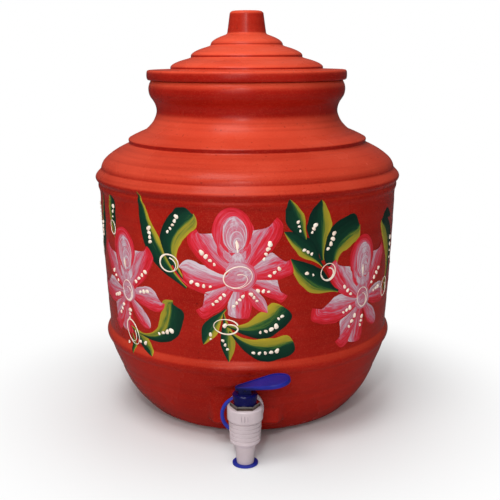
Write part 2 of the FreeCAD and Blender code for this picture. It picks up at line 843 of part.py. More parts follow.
# Valve stem: foot button, spring collar, rod and the flat eye that the lever's pin crosses
def make_stem():
    body = new_body("ValveStem")
    foot_low = seal_foot + d.seal_lip
    foot_high = foot_low + d.stem_foot_thickness
    collar_foot = seal_top + d.seal_crown
    eye_foot = pin_height - d.stem_eye_drop
    turned(body, "StemRod", (0, foot_low), [
        corner(d.stem_foot_radius, foot_low),
        corner(d.stem_foot_radius, foot_high),
        corner(d.stem_radius, foot_high),
        corner(d.stem_radius, collar_foot),
        corner(d.stem_collar_radius, collar_foot),
        corner(d.stem_collar_radius, spring_foot),
        corner(d.stem_radius, spring_foot),
        corner(d.stem_radius, eye_foot),
        corner(0, eye_foot),
        corner(0, foot_low),
    ])
    # The eye lies across the lever: thin along Y, round about the pin
    primitive(
        body, "AdditiveBox", "StemNeck", x=-d.stem_head_radius, y=-d.stem_head_thickness / 2,
        z=eye_foot - d.stem_radius / 2, Length=d.stem_head_radius * 2, Width=d.stem_head_thickness,
        Height=pin_height - eye_foot + d.stem_radius / 2,
    )
    primitive(
        body, "AdditiveCylinder", "StemEye", y=d.stem_head_thickness / 2, z=pin_height, rotation=OUTWARD,
        Radius=d.stem_head_radius, Height=d.stem_head_thickness,
    )
    primitive(
        body, "SubtractiveCylinder", "StemPinHole", y=d.stem_head_thickness, z=pin_height, rotation=OUTWARD,
        Radius=d.pin_radius + d.running_clearance, Height=d.stem_head_thickness * 2,
    )
    turn = FreeCAD.Rotation(FreeCAD.Vector(0, 0, 1), SIZES["lever_turn_angle"])
    place(body, y=-barrel_reach, rotation=turn)
    finish(body, "valve_stem")


# Soft seal snapped round the stem's foot
def make_valve_seal():
    body = new_body("ValveSeal")
    foot_low = seal_foot + d.seal_lip
    foot_high = foot_low + d.stem_foot_thickness
    turned(body, "SealOutside", (0, seal_foot), [
        corner(d.seal_radius - d.seal_lip, seal_foot),
        corner(d.seal_radius, seal_foot + d.seal_lip),
        corner(d.seal_radius, seal_top - d.seal_lip),
        corner(d.seal_radius - d.seal_lip, seal_top),
        corner(0, seal_top),
        corner(0, seal_foot),
    ])
    socket = d.stem_foot_radius + d.foot_gap
    throat = d.stem_radius + d.foot_gap
    turned(body, "SealSocket", (0, foot_low - d.foot_gap), [
        corner(socket, foot_low - d.foot_gap),
        corner(socket, foot_high + d.foot_gap),
        corner(throat, foot_high + d.foot_gap),
        corner(throat, seal_top + d.wall),
        corner(0, seal_top + d.wall),
        corner(0, foot_low - d.foot_gap),
    ], cut=True)
    place(body, y=-barrel_reach)
    finish(body, "valve_seal")


# Return spring, between the stem's collar and the bonnet's roof
def make_spring():
    body = new_body("ReturnSpring")
    sketch = new_sketch(body, "SpringWire")
    outline = Outline(sketch)
    wire_path_radius = d.stem_radius + d.spring_radial_gap + d.spring_wire_radius
    lowest = spring_foot + d.spring_end_gap + d.spring_wire_radius
    highest = roof_under - d.spring_end_gap - d.spring_wire_radius
    outline.round_hole(d.spring_wire_radius, x=wire_path_radius, y=lowest)
    outline.close()
    coil = body.newObject("PartDesign::AdditiveHelix", "SpringCoil")
    coil.Profile = sketch
    coil.ReferenceAxis = (sketch, ["V_Axis"])
    coil.Mode = "height-turns-angle"
    bind(coil, Height=highest - lowest, Turns=d.spring_turns)
    sketch.Visibility = False
    place(body, y=-barrel_reach)
    finish(body, "return_spring")


# Lever: in its own frame the pin is at the origin, +X runs to the tip, and the paddle lies level
def make_lever():
    body = new_body("Lever")
    cos_rise = cosine(d.lever_rise_angle)
    sin_rise = sine(d.lever_rise_angle)

    def on_bonnet(x, z):
        """A point that is level with the bonnet's top, seen from the raised paddle."""
        return x * cos_rise + z * sin_rise, z * cos_rise - x * sin_rise

    hub_low = d.hub_gap - d.pin_above_bonnet
    back_low = on_bonnet(-d.hub_half_length, hub_low)
    front_low = on_bonnet(d.hub_half_length, hub_low)
    paddle_mid = d.paddle_above_pin + d.paddle_thickness / 2
    sketch = draw_outline(body, "HubOutline", back_low, [
        corner(*front_low),
        corner(front_low[0], paddle_mid),
        corner(back_low[0], paddle_mid),
        corner(*back_low),
    ])
    hub = body.newObject("PartDesign::Pad", "Hub")
    hub.Profile = sketch
    hub.Midplane = True
    bind(hub, Length=d.hub_width)
    sketch.Visibility = False

    # The paddle: two round ends joined by the lines that touch both
    spread = d.paddle_tip_forward + d.paddle_heel_back
    lean = (d.paddle_tip_radius - d.paddle_heel_radius) / spread
    upright = Length(math.sqrt(1 - lean.value ** 2), f"sqrt(1 - {lean.formula} * {lean.formula})")

    def paddle_outline(name, inset, lift):
        heel = d.paddle_heel_radius - inset
        tip = d.paddle_tip_radius - inset
        heel_x = -d.paddle_heel_back
        tip_x = d.paddle_tip_forward
        plan = new_sketch(body, name, role="XY_Plane", lift=lift)
        outline = Outline(plan)
        heel_touch = (heel_x - heel * lean, heel * upright)
        tip_touch = (tip_x - tip * lean, tip * upright)
        heel_mirror = (heel_touch[0], -heel_touch[1])
        tip_mirror = (tip_touch[0], -tip_touch[1])
        outline.draw(heel_mirror, [
            corner(*tip_mirror),
            curve(tip_touch[0], tip_touch[1], tip + tip * lean),
            corner(*heel_touch),
            curve(heel_mirror[0], heel_mirror[1], heel * lean - heel),
        ])
        outline.close()
        plan.Visibility = False
        return plan

    paddle = body.newObject("PartDesign::Pad", "Paddle")
    paddle.Profile = paddle_outline("PaddleOutline", 0, d.paddle_above_pin)
    bind(paddle, Length=d.paddle_thickness)
    doc.recompute()
    rim_edges = edges_where(paddle, lambda edge: all(
        is_near(vertex.Z, SIZES["paddle_above_pin"] + SIZES["paddle_thickness"]) for vertex in edge.Vertexes
    ))
    rounded = dress(body, "Fillet", "PaddleRound", paddle, rim_edges, Radius=d.paddle_edge_round)
    doc.recompute()

    dish = body.newObject("PartDesign::Pocket", "PaddleDish")
    dish.Profile = paddle_outline(
        "DishOutline", d.paddle_rim_width, d.paddle_above_pin + d.paddle_thickness,
    )
    bind(dish, Length=d.paddle_dish_depth)

    # Slot for the stem's eye, and the pin's hole through both cheeks
    slot_width = d.stem_head_thickness + d.fork_gap * 2
    primitive(
        body, "SubtractiveCylinder", "ForkTop", y=slot_width / 2, rotation=OUTWARD,
        Radius=d.fork_slot_radius, Height=slot_width,
    )
    slot_drop = d.pin_above_bonnet * 2
    primitive(
        body, "SubtractiveBox", "ForkSlot", x=-d.hub_half_length * 2, y=-slot_width / 2, z=-slot_drop,
        Length=d.hub_half_length * 4, Width=slot_width, Height=slot_drop + d.paddle_above_pin / 2,
    )
    primitive(
        body, "SubtractiveCylinder", "PinHole", y=d.hub_width, rotation=OUTWARD,
        Radius=d.pin_radius + d.pin_fit, Height=d.hub_width * 2,
    )
    turn = FreeCAD.Rotation(SIZES["lever_turn_angle"], -SIZES["lever_rise_angle"], 0)
    place(body, y=-barrel_reach, z=pin_height, rotation=turn)
    finish(body, "lever")


def make_lever_pin():
    length = d.hub_width - d.pin_end_inset * 2
    pin = solid("Cylinder", "LeverPin", Radius=d.pin_radius, Height=length)
    # The pin lies across the lever, centred on the barrel's axis
    turn_radians = math.radians(SIZES["lever_turn_angle"])
    turn = FreeCAD.Rotation(FreeCAD.Vector(0, 0, 1), SIZES["lever_turn_angle"])
    across = turn.multiply(OUTWARD)
    offset_x = length / 2 * math.sin(turn_radians)
    offset_y = length / 2 * math.cos(turn_radians)
    place(pin, x=-offset_x, y=-barrel_reach + offset_y, z=pin_height, rotation=across)
    finish(pin, "lever_pin")


# Dust cap that plugs the spout
def make_spout_cap():
    body = new_body("SpoutCap")
    disc_top = spout_end - d.cap_gap
    disc_foot = disc_top - d.cap_thickness
    plug_radius = d.spout_bore - d.plug_radius_gap
    plug_top = disc_top + d.plug_height
    turned(body, "CapBody", (0, disc_foot), [
        corner(d.cap_radius, disc_foot),
        corner(d.cap_radius, disc_top),
        corner(plug_radius, disc_top),
        corner(plug_radius, plug_top - d.plug_round),
        corner(plug_radius - d.plug_round, plug_top),
        corner(0, plug_top),
        corner(0, disc_foot),
    ])
    place(body, y=-barrel_reach)
    finish(body, "spout_cap")


# Tether: a loop that hangs on the tap's neck, and the strap down to the cap
def make_tether():
    body = new_body("CapTether")
    loop_radius = d.loop_inner_radius + d.loop_section_radius
    hang = d.loop_inner_radius - d.neck_radius - d.loop_hang_gap
    loop_reach = flange_front + d.loop_from_flange
    # The loop has swung to one side on the neck, and the strap still hangs in the tap's middle
    loop_aside = hang * sine(d.loop_swing)
    loop_height = d.tap_height - hang * cosine(d.loop_swing)
    strap_top = root(loop_radius * loop_radius - loop_aside * loop_aside)
    primitive(
        body, "AdditiveTorus", "Loop", rotation=OUTWARD,
        Radius1=loop_radius, Radius2=d.loop_section_radius,
    )
    # The strap leaves the loop's foot, drops, bends outwards and meets the cap's edge level
    cap_edge = barrel_reach - d.cap_radius - d.loop_hang_gap
    cap_middle = spout_end - d.cap_gap - d.cap_thickness / 2 - loop_height
    strap_end = cap_edge - loop_reach
    path = new_sketch(body, "StrapPath", role="YZ_Plane", lift=loop_aside)
    run = Outline(path)
    run.trail([
        (0, -strap_top),
        (0, cap_middle + d.strap_bend),
        (d.strap_foot_run - strap_end, cap_middle),
        (-strap_end, cap_middle),
    ])
    run.close()
    section = new_sketch(body, "StrapSection", role="XY_Plane", lift=-strap_top)
    near = loop_aside - d.strap_width / 2
    far = loop_aside + d.strap_width / 2
    thin = d.strap_thickness / 2
    shape = Outline(section)
    shape.draw((near, -thin), [
        corner(far, -thin),
        corner(far, thin),
        corner(near, thin),
        corner(near, -thin),
    ])
    shape.close()
    strap = body.newObject("PartDesign::AdditivePipe", "Strap")
    strap.Profile = section
    strap.Spine = path
    strap.Transition = "Right corner"
    path.Visibility = False
    section.Visibility = False
    place(body, x=-loop_aside, y=-loop_reach, z=loop_height)
    finish(body, "cap_tether")


make_pot()
make_lid()
make_tap_body()
make_washer("outer_washer", d.washer_radius, d.outer_washer_thickness, seat_reach)
make_washer("inner_washer", d.washer_radius, d.inner_washer_thickness, nut_front)
make_tail_nut()
make_gland_nut()
make_bonnet()
make_stem_seal()
make_stem()
make_valve_seal()
make_spring()
make_lever()
make_lever_pin()
make_spout_cap()
make_tether()

doc.recompute()
for item in doc.Objects:
    if "Invalid" in item.State or "Error" in item.State:
        raise RuntimeError(f"{item.Label} failed: {item.State}")
for part in parts:
    if part.Shape.isNull() or not part.Shape.isValid():
        raise RuntimeError(f"{part.Label} has no valid shape")

os.makedirs("parts", exist_ok=True)
for part in parts:
    part.Shape.exportStep(f"parts/{part.Label}.step")
    box = part.Shape.BoundBox
    print(
        f"{part.Label}: volume {part.Shape.Volume:.1f}, solids {len(part.Shape.Solids)}, "
        f"x {box.XMin:.2f} {box.XMax:.2f}, y {box.YMin:.2f} {box.YMax:.2f}, z {box.ZMin:.2f} {box.ZMax:.2f}"
    )
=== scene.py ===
import math

import bpy
import numpy as np
from mathutils import Matrix, Vector


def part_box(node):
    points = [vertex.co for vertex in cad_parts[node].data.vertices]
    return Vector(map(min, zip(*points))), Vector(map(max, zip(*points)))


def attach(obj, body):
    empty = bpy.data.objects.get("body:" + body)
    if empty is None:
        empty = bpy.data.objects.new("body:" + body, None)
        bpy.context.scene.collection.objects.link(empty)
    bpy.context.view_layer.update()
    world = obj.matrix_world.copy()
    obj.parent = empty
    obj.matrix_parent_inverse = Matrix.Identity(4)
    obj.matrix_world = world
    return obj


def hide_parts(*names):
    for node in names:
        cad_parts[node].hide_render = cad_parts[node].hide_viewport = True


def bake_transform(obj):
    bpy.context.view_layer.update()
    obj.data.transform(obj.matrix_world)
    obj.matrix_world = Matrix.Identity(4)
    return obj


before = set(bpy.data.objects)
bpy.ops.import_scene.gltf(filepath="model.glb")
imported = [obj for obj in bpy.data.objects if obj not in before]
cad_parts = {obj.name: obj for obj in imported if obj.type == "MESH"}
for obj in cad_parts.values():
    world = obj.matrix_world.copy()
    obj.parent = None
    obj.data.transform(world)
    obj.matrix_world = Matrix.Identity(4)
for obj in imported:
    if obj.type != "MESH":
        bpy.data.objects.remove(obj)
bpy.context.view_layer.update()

MM = 0.001
TURN = 2 * math.pi


# Camera: a little above the rim, tipped down, and a touch to the right of the tap
CAMERA_DISTANCE = 845 * MM
CAMERA_HEIGHT = 349.8 * MM
CAMERA_AZIMUTH = math.radians(1.0)
CAMERA_AIM = math.radians(0.162)
CAMERA_TILT = math.radians(13.0)
CAMERA_ROLL = math.radians(0.2)
FOCAL_LENGTH = 61.2
SENSOR_WIDTH = 36


def make_camera():
    lens = bpy.data.cameras.new("camera")
    lens.lens = FOCAL_LENGTH
    lens.sensor_width = SENSOR_WIDTH
    camera = bpy.data.objects.new("camera", lens)
    place = Matrix.Translation((
        CAMERA_DISTANCE * math.sin(CAMERA_AZIMUTH),
        -CAMERA_DISTANCE * math.cos(CAMERA_AZIMUTH),
        CAMERA_HEIGHT,
    ))
    heading = Matrix.Rotation(CAMERA_AZIMUTH - CAMERA_AIM, 4, "Z")
    tilt = Matrix.Rotation(math.pi / 2 - CAMERA_TILT, 4, "X")
    roll = Matrix.Rotation(-CAMERA_ROLL, 4, "Z")
    camera.matrix_world = place @ heading @ tilt @ roll
    bpy.context.scene.collection.objects.link(camera)
    bpy.context.scene.camera = camera


# Materials
# Heights in metres over which the clay's painted top light grows from about a third to full strength
TOP_LIGHT_FROM = 140 * MM
TOP_LIGHT_FULL = 360 * MM


def linear(red, green, blue):
    """A colour given in screen values from 0 to 255, as the shaders need it."""
    parts = []
    for value in (red, green, blue):
        share = value / 255
        parts.append(share / 12.92 if share <= 0.04045 else ((share + 0.055) / 1.055) ** 2.4)
    return (*parts, 1.0)


class Finish:
    """A material under construction: one Principled shader and the nodes that feed it."""

    def __init__(self, name, **values):
        self.material = bpy.data.materials.new(name)
        self.material.use_nodes = True
        self.tree = self.material.node_tree
        self.shader = self.tree.nodes["Principled BSDF"]
        self.coordinates = self.tree.nodes.new("ShaderNodeTexCoord").outputs["Object"]
        for socket, value in values.items():
            self.shader.inputs[socket.replace("_", " ")].default_value = value

    def add(self, kind, inputs=None, **settings):
        node = self.tree.nodes.new(kind)
        for name, value in settings.items():
            setattr(node, name, value)
        for name, value in (inputs or {}).items():
            if isinstance(value, bpy.types.NodeSocket):
                self.tree.links.new(value, node.inputs[name])
            else:
                node.inputs[name].default_value = value
        return node

    def feed(self, socket, source):
        self.tree.links.new(source, self.shader.inputs[socket])

    def stretched(self, scale):
        """Coordinates scaled by (x, y, z)."""
        inputs = {"Vector": self.coordinates, "Scale": scale}
        return self.add("ShaderNodeMapping", inputs).outputs["Vector"]

    def noise(self, scale, detail=3.0, roughness=0.5, vector=None):
        inputs = {
            "Vector": vector or self.coordinates, "Scale": scale, "Detail": detail, "Roughness": roughness,
        }
        return self.add("ShaderNodeTexNoise", inputs).outputs["Fac"]

    def ramp(self, factor, low, high, out_low=0.0, out_high=1.0):
        """Turns a stretch of values into another, smoothly at both ends."""
        inputs = {
            "Value": factor, "From Min": low, "From Max": high, "To Min": out_low, "To Max": out_high,
        }
        return self.add("ShaderNodeMapRange", inputs, interpolation_type="SMOOTHSTEP").outputs["Result"]

    def maths(self, operation, a, b=0.0):
        return self.add("ShaderNodeMath", {0: a, 1: b}, operation=operation).outputs["Value"]

    def mix(self, factor, a, b):
        """Blends two colours. The node's sockets go by number, because their names repeat."""
        node = self.add("ShaderNodeMix", data_type="RGBA")
        for index, value in ((0, factor), (6, a), (7, b)):
            if isinstance(value, bpy.types.NodeSocket):
                self.tree.links.new(value, node.inputs[index])
            else:
                node.inputs[index].default_value = value
        return node.outputs[2]

    def height(self):
        """Height above the foot, in metres."""
        return self.add("ShaderNodeSeparateXYZ", {"Vector": self.coordinates}).outputs["Z"]

    def bump(self, source, distance, strength, under=None):
        inputs = {"Height": source, "Distance": distance, "Strength": strength}
        if under is not None:
            inputs["Normal"] = under
        normal = self.add("ShaderNodeBump", inputs).outputs["Normal"]
        self.feed("Normal", normal)
        return normal


def clay_finish():
    """Burnished red clay: grain, patches and faint turning lines. The turning lines are darkened as painted
    shade, paler grain flecks are painted sparkle, and a painted top light makes it paler where it faces
    upwards, more so higher up.
    """
    finish = Finish("fired_clay", Specular_IOR_Level=0.1)
    patches = finish.noise(14, 4)
    grain = finish.noise(900, 2, 0.6)
    specks = finish.noise(420, 1, 0.5)
    turning = finish.noise(9, 3, 0.55, finish.stretched((0.6, 0.6, 34)))
    facing = finish.add("ShaderNodeNewGeometry").outputs["Normal"]
    upward = finish.add("ShaderNodeSeparateXYZ", {"Vector": facing}).outputs["Z"]
    patchy = finish.ramp(patches, 0.3, 0.7)
    body = finish.mix(patchy, linear(144, 18, 9), linear(160, 25, 14))
    # Paler colour for where the clay faces upwards: painted top light
    top_lit_colour = finish.mix(patchy, linear(208, 68, 44), linear(220, 82, 56))
    # Darker turning lines are painted shade, paler grain flecks are painted sparkle, and the dark specks are
    # the clay's own
    turning_line_shade, grain_sparkle, dark_speck = linear(124, 12, 6), linear(226, 112, 80), linear(74, 14, 10)
    # The painted top light is weaker lower down the pot
    top_light_by_height = finish.ramp(finish.height(), TOP_LIGHT_FROM, TOP_LIGHT_FULL, 0.35, 1.0)
    colour = finish.mix(finish.maths("MULTIPLY", finish.ramp(upward, 0.0, 0.55), top_light_by_height), body, top_lit_colour)
    # Painted shade along the turning lines
    colour = finish.mix(finish.ramp(turning, 0.4, 0.75, 0.0, 0.3), colour, turning_line_shade)
    # Painted sparkle on paler flecks of the grain
    colour = finish.mix(finish.ramp(grain, 0.45, 0.8, 0.0, 0.14), colour, grain_sparkle)
    colour = finish.mix(finish.ramp(specks, 0.7, 0.78, 0.0, 0.5), colour, dark_speck)
    finish.feed("Base Color", colour)
    finish.feed("Roughness", finish.ramp(patches, 0.25, 0.75, 0.2, 0.33))
    coarse = finish.bump(turning, 0.15 * MM, 0.5)
    finish.bump(grain, 0.02 * MM, 0.6, coarse)
    return finish.material


def moulded_finish(name, colour, roughness, sheen=0.5):
    """Moulded plastic: an even colour with faint flow marks and fine scuffs in the gloss."""
    finish = Finish(name, Specular_IOR_Level=sheen)
    flow = finish.noise(60, 3)
    scuffs = finish.noise(700, 4, 0.7)
    shade = tuple(value * 0.86 for value in colour[:3]) + (1.0,)
    finish.feed("Base Color", finish.mix(finish.ramp(flow, 0.3, 0.7), shade, colour))
    finish.feed("Roughness", finish.ramp(scuffs, 0.35, 0.7, roughness, roughness + 0.12))
    finish.bump(flow, 0.08 * MM, 0.3)
    return finish.material


def rubber_finish(name, colour, roughness):
    """Soft rubber or silicone: dull, with dust and a fine moulded skin."""
    finish = Finish(name, Specular_IOR_Level=0.4)
    dust = finish.noise(120, 4, 0.65)
    skin = finish.noise(1500, 2)
    pale = tuple(value * 0.8 + 0.05 for value in colour[:3]) + (1.0,)
    finish.feed("Base Color", finish.mix(finish.ramp(dust, 0.45, 0.8, 0.0, 0.5), colour, pale))
    finish.feed("Roughness", finish.ramp(dust, 0.3, 0.7, roughness, roughness + 0.15))
    finish.bump(skin, 0.03 * MM, 0.5)
    return finish.material


def metal_finish(name, colour, roughness):
    """Drawn metal with fine lines across it."""
    finish = Finish(name, Metallic=1.0)
    brushed = finish.noise(900, 3, 0.6, finish.stretched((1, 1, 12)))
    haze = finish.noise(150, 3)
    hazed = finish.mix(finish.ramp(haze, 0.3, 0.8, 0.0, 0.25), colour, linear(120, 116, 112))
    finish.feed("Base Color", hazed)
    finish.feed("Roughness", finish.ramp(brushed, 0.3, 0.7, roughness, roughness + 0.1))
    finish.bump(brushed, 0.015 * MM, 0.4)
    return finish.material


# Mesh helpers
def link_mesh(name, vertices, faces, material, smooth=True):
    mesh = bpy.data.meshes.new(name)
    mesh.from_pydata([tuple(point) for point in vertices], [], faces)
    mesh.materials.append(material)
    for polygon in mesh.polygons:
        polygon.use_smooth = smooth
    mesh.update()
    piece = bpy.data.objects.new(name, mesh)
    bpy.context.scene.collection.objects.link(piece)
    return piece


def profile_points(start, steps, spacing):
    """Points along a profile of (radius, height) made of straight or swelling stretches, in millimetres."""
    points = [start]
    here = start
    for radius, height, swell in steps:
        length = math.hypot(radius - here[0], height - here[1]) + abs(swell)
        count = max(2, round(length / spacing))
        for index in range(1, count + 1):
            t = index / count
            points.append((
                here[0] + (radius - here[0]) * t + 4 * swell * t * (1 - t),
                here[1] + (height - here[1]) * t,
            ))
        here = (radius, height)
    return np.array(points)


def softened(points, times):
    """Rounds the corners of a profile, keeping both ends."""
    for _ in range(times):
        points[1:-1] = (points[:-2] + 2 * points[1:-1] + points[2:]) / 4
    return points


def evenly_round(count):
    return np.arange(count) * TURN / count


def ring_points(radii, height, angles):
    """Points round the axis at one height, with one radius for all or one for each. The tap is at -Y."""
    return np.column_stack([radii * np.sin(angles), -radii * np.cos(angles), np.full_like(angles, height)])


def lathe(name, rings, pole_heights, material):
    """A closed piece from rings of points in millimetres, between two poles on the axis."""
    around = len(rings[0])
    turned = np.concatenate(rings)
    first_pole = len(turned)
    poles = np.array([(0, 0, height) for height in pole_heights])
    faces = []
    for low in range(0, first_pole - around, around):
        for step in range(around):
            after = (step + 1) % around
            faces.append((low + step, low + after, low + around + after, low + around + step))
    last = first_pole - around
    for step in range(around):
        after = (step + 1) % around
        faces.append((first_pole, after, step))
        faces.append((first_pole + 1, last + step, last + after))
    return link_mesh(name, np.concatenate([turned, poles]) * MM, faces, material)


# Pot: each step of a profile is a radius, a height and how far the way there swells out, in millimetres
POT_START = (0, 0)
POT_OUTSIDE = [
    (88.0, 0, 0),
    (105.6, 6.0, 1.8),
    (131.2, 47.0, 3.9),
    (140.7, 72.5, 0.7),
    (140.3, 86.0, 3.6),
    (145.9, 222.0, 0.7),
    (146.4, 229.8, 1.2),
    (148.3, 237.6, 2.4),
    (144.1, 241.8, 0),
    (115.8, 265.5, 6.9),
    (116.8, 269.8, 0),
    (100.0, 277.8, 1.0),
    (93.1, 308.5, -7.7),
    (93.1, 325.0, 2.6),
]
POT_INSIDE = [
    (84.6, 325.0, 0),
    (84.6, 308.5, 0),
    (97.9, 269.3, -10.9),
    (111.6, 257.0, 0),
    (135.6, 241.8, 5.5),
    (137.4, 222.0, 0),
    (132.2, 72.5, 0.7),
    (122.7, 47.0, 0.7),
    (97.1, 16.0, 3.9),
    (79.5, 10.0, 1.8),
    (0, 10.0, 0),
]
PROFILE_SPACING = 1.0
INSIDE_SPACING = 2.0
SOFTENING = 2
POT_AROUND = 384
OUT_OF_ROUND = 0.45
THREE_SIDED = 0.25
WIDE_RINGS = 0.08
NARROW_RINGS = 0.05
TRUE_RADIUS = 60
SEAT_REACH = -(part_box("outer_washer")[1].y / MM)
TAP_HEIGHT = (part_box("outer_washer")[0].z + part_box("outer_washer")[1].z) / 2 / MM
SEAT_HALF_WIDTH = 27.0
SEAT_BELOW = 15.0
SEAT_ABOVE = 13.0
SEAT_SOFT = 9.0
FLANGE_CLEAR = 18.0
NEAR_SEAT = 0.7 * SEAT_REACH


def smoothstep(values):
    t = np.clip(values, 0, 1)
    return t * t * (3 - 2 * t)


def hand_made(radius, height, angles):
    """A radius that strays a little from true, as a thrown pot's does, and less so near the axis."""
    oval = OUT_OF_ROUND * np.sin(2 * angles + height * 0.011)
    sway = oval + THREE_SIDED * np.sin(3 * angles + 1.3 - height * 0.02)
    rings = WIDE_RINGS * np.sin(height * 0.31) + NARROW_RINGS * np.sin(height * 0.63 + 1.0)
    return radius + (sway + rings) * np.minimum(1.0, radius / TRUE_RADIUS)


def seat_weight(x, z):
    """1 on the flat seat of the tap, falling softly to 0 round it."""
    across = np.abs(x) - SEAT_HALF_WIDTH
    middle = TAP_HEIGHT + (SEAT_ABOVE - SEAT_BELOW) / 2
    up = np.abs(z - middle) - (SEAT_ABOVE + SEAT_BELOW) / 2
    outside = np.hypot(np.maximum(across, 0), np.maximum(up, 0))
    ring = np.hypot(x, z - TAP_HEIGHT) - FLANGE_CLEAR
    return smoothstep(1 - np.minimum(outside, np.maximum(ring, 0)) / SEAT_SOFT)


def pot_surface(radius, height, angles):
    """Points of one ring of the pot's outside, with the tap's seat pressed flat."""
    x, y, z = ring_points(hand_made(radius, height, angles), height, angles).T
    weight = np.where(y < -NEAR_SEAT, seat_weight(x, z), 0.0)
    y = y * (1 - weight) - SEAT_REACH * weight
    return np.column_stack([x, y, z])


OUTSIDE = softened(profile_points(POT_START, POT_OUTSIDE, PROFILE_SPACING), SOFTENING)


def make_pot(clay):
    rim = POT_OUTSIDE[-1][:2]
    inside = softened(profile_points(rim, POT_INSIDE, INSIDE_SPACING), SOFTENING)
    angles = evenly_round(POT_AROUND)
    rings = [pot_surface(radius, height, angles) for radius, height in OUTSIDE[1:]]
    rings += [ring_points(radius, height, angles) for radius, height in inside[1:-1]]
    piece = lathe("painted_pot", rings, (OUTSIDE[0][1], inside[-1][1]), clay)
    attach(piece, "pot")
    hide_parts("pot_body")


# Paint: quick two-tone brush strokes, laid on the wall in the order in which they were painted
WALL_RADIUS = 143.2
WALL_TOP = 235.0
WALL = OUTSIDE[OUTSIDE[:, 1] < WALL_TOP]
PAINT_THICKNESS = 0.16
EDGE_SUNK = 0.10
FINEST = 0.1
STROKE_STEP, STROKE_COLUMNS = 1.3, 13
LINE_STEP, LINE_COLUMNS = 1.4, 5

# Each layer lies this far over the one before. Petals and leaves take up to 8, and the rest lies over them.
LAYER = 0.03
BUD_LAYER = 9
LINE_LAYER = 12
HEART_LAYER = 15
LOOP_LAYER = 20
DOT_LAYER = 21


class Spot:
    """A place on the wall, by degrees round from the tap and height, that strokes are measured from.

    A flip of -1 mirrors what is painted there.
    """

    def __init__(self, degrees, height, flip):
        self.angle = math.radians(degrees)
        self.height = height
        self.flip = flip

    def on_wall(self, across, up, lift):
        """Points on the wall for distances across and up, in millimetres, raised by lift."""
        angles = self.angle + across * self.flip / WALL_RADIUS
        heights = self.height + up
        radii = hand_made(np.interp(heights, WALL[:, 1], WALL[:, 0]), heights, angles) + lift
        return np.stack([radii * np.sin(angles), -radii * np.cos(angles), heights], axis=-1)


# Where a stroke's right edge, middle and left edge lie in its colouring, from 0, the palest, to 1
TONES = {
    "left": (1, 0.5, 0),
    "right": (0, 0.5, 1),
    "right_edge": (0, 0.68, 1),
    "left_edge": (1, 0.68, 0),
    "rim": (0.95, 0.6, 0.95),
    "cup": (0.7, 0.5, 0.3),
    "crown": (1.0, 0.75, 0.35),
    "even": (0.5, 0.5, 0.5),
    "blush": (0.5, 0.3, 0.5),
    "wash": (0.3, 0.18, 0.3),
    "pale": (0.25, 0.1, 0.25),
    "white": (0.0, -0.05, 0.0),
    "dark": (1, 1, 1),
}

# How a stroke's tip closes: a higher power keeps it full for longer, and a higher root makes it sharper
ENDS = {
    "round": (2.0, 0.5),
    "blunt": (3.6, 0.5),
    "point": (1.5, 0.85),
    "chisel": (9.0, 0.4),
}

# A drop of paint, from its foot to its top, in shares of its radius
DROP_RINGS = np.array([1.0, 0.82, 0.5, 0.02])
DROP_HEIGHTS = np.array([-0.12, 0.22, 0.36, 0.42])
DROP_POINTS = 15


def bowed(start, tip, bow, t):
    """A line from start to tip whose middle is bow to the left of the straight way."""
    start, tip = np.array(start, float), np.array(tip, float)
    way = tip - start
    left = np.array([-way[1], way[0]]) / np.hypot(*way)
    t = t[:, None]
    return start + way * t + left * bow * 4 * t * (1 - t)


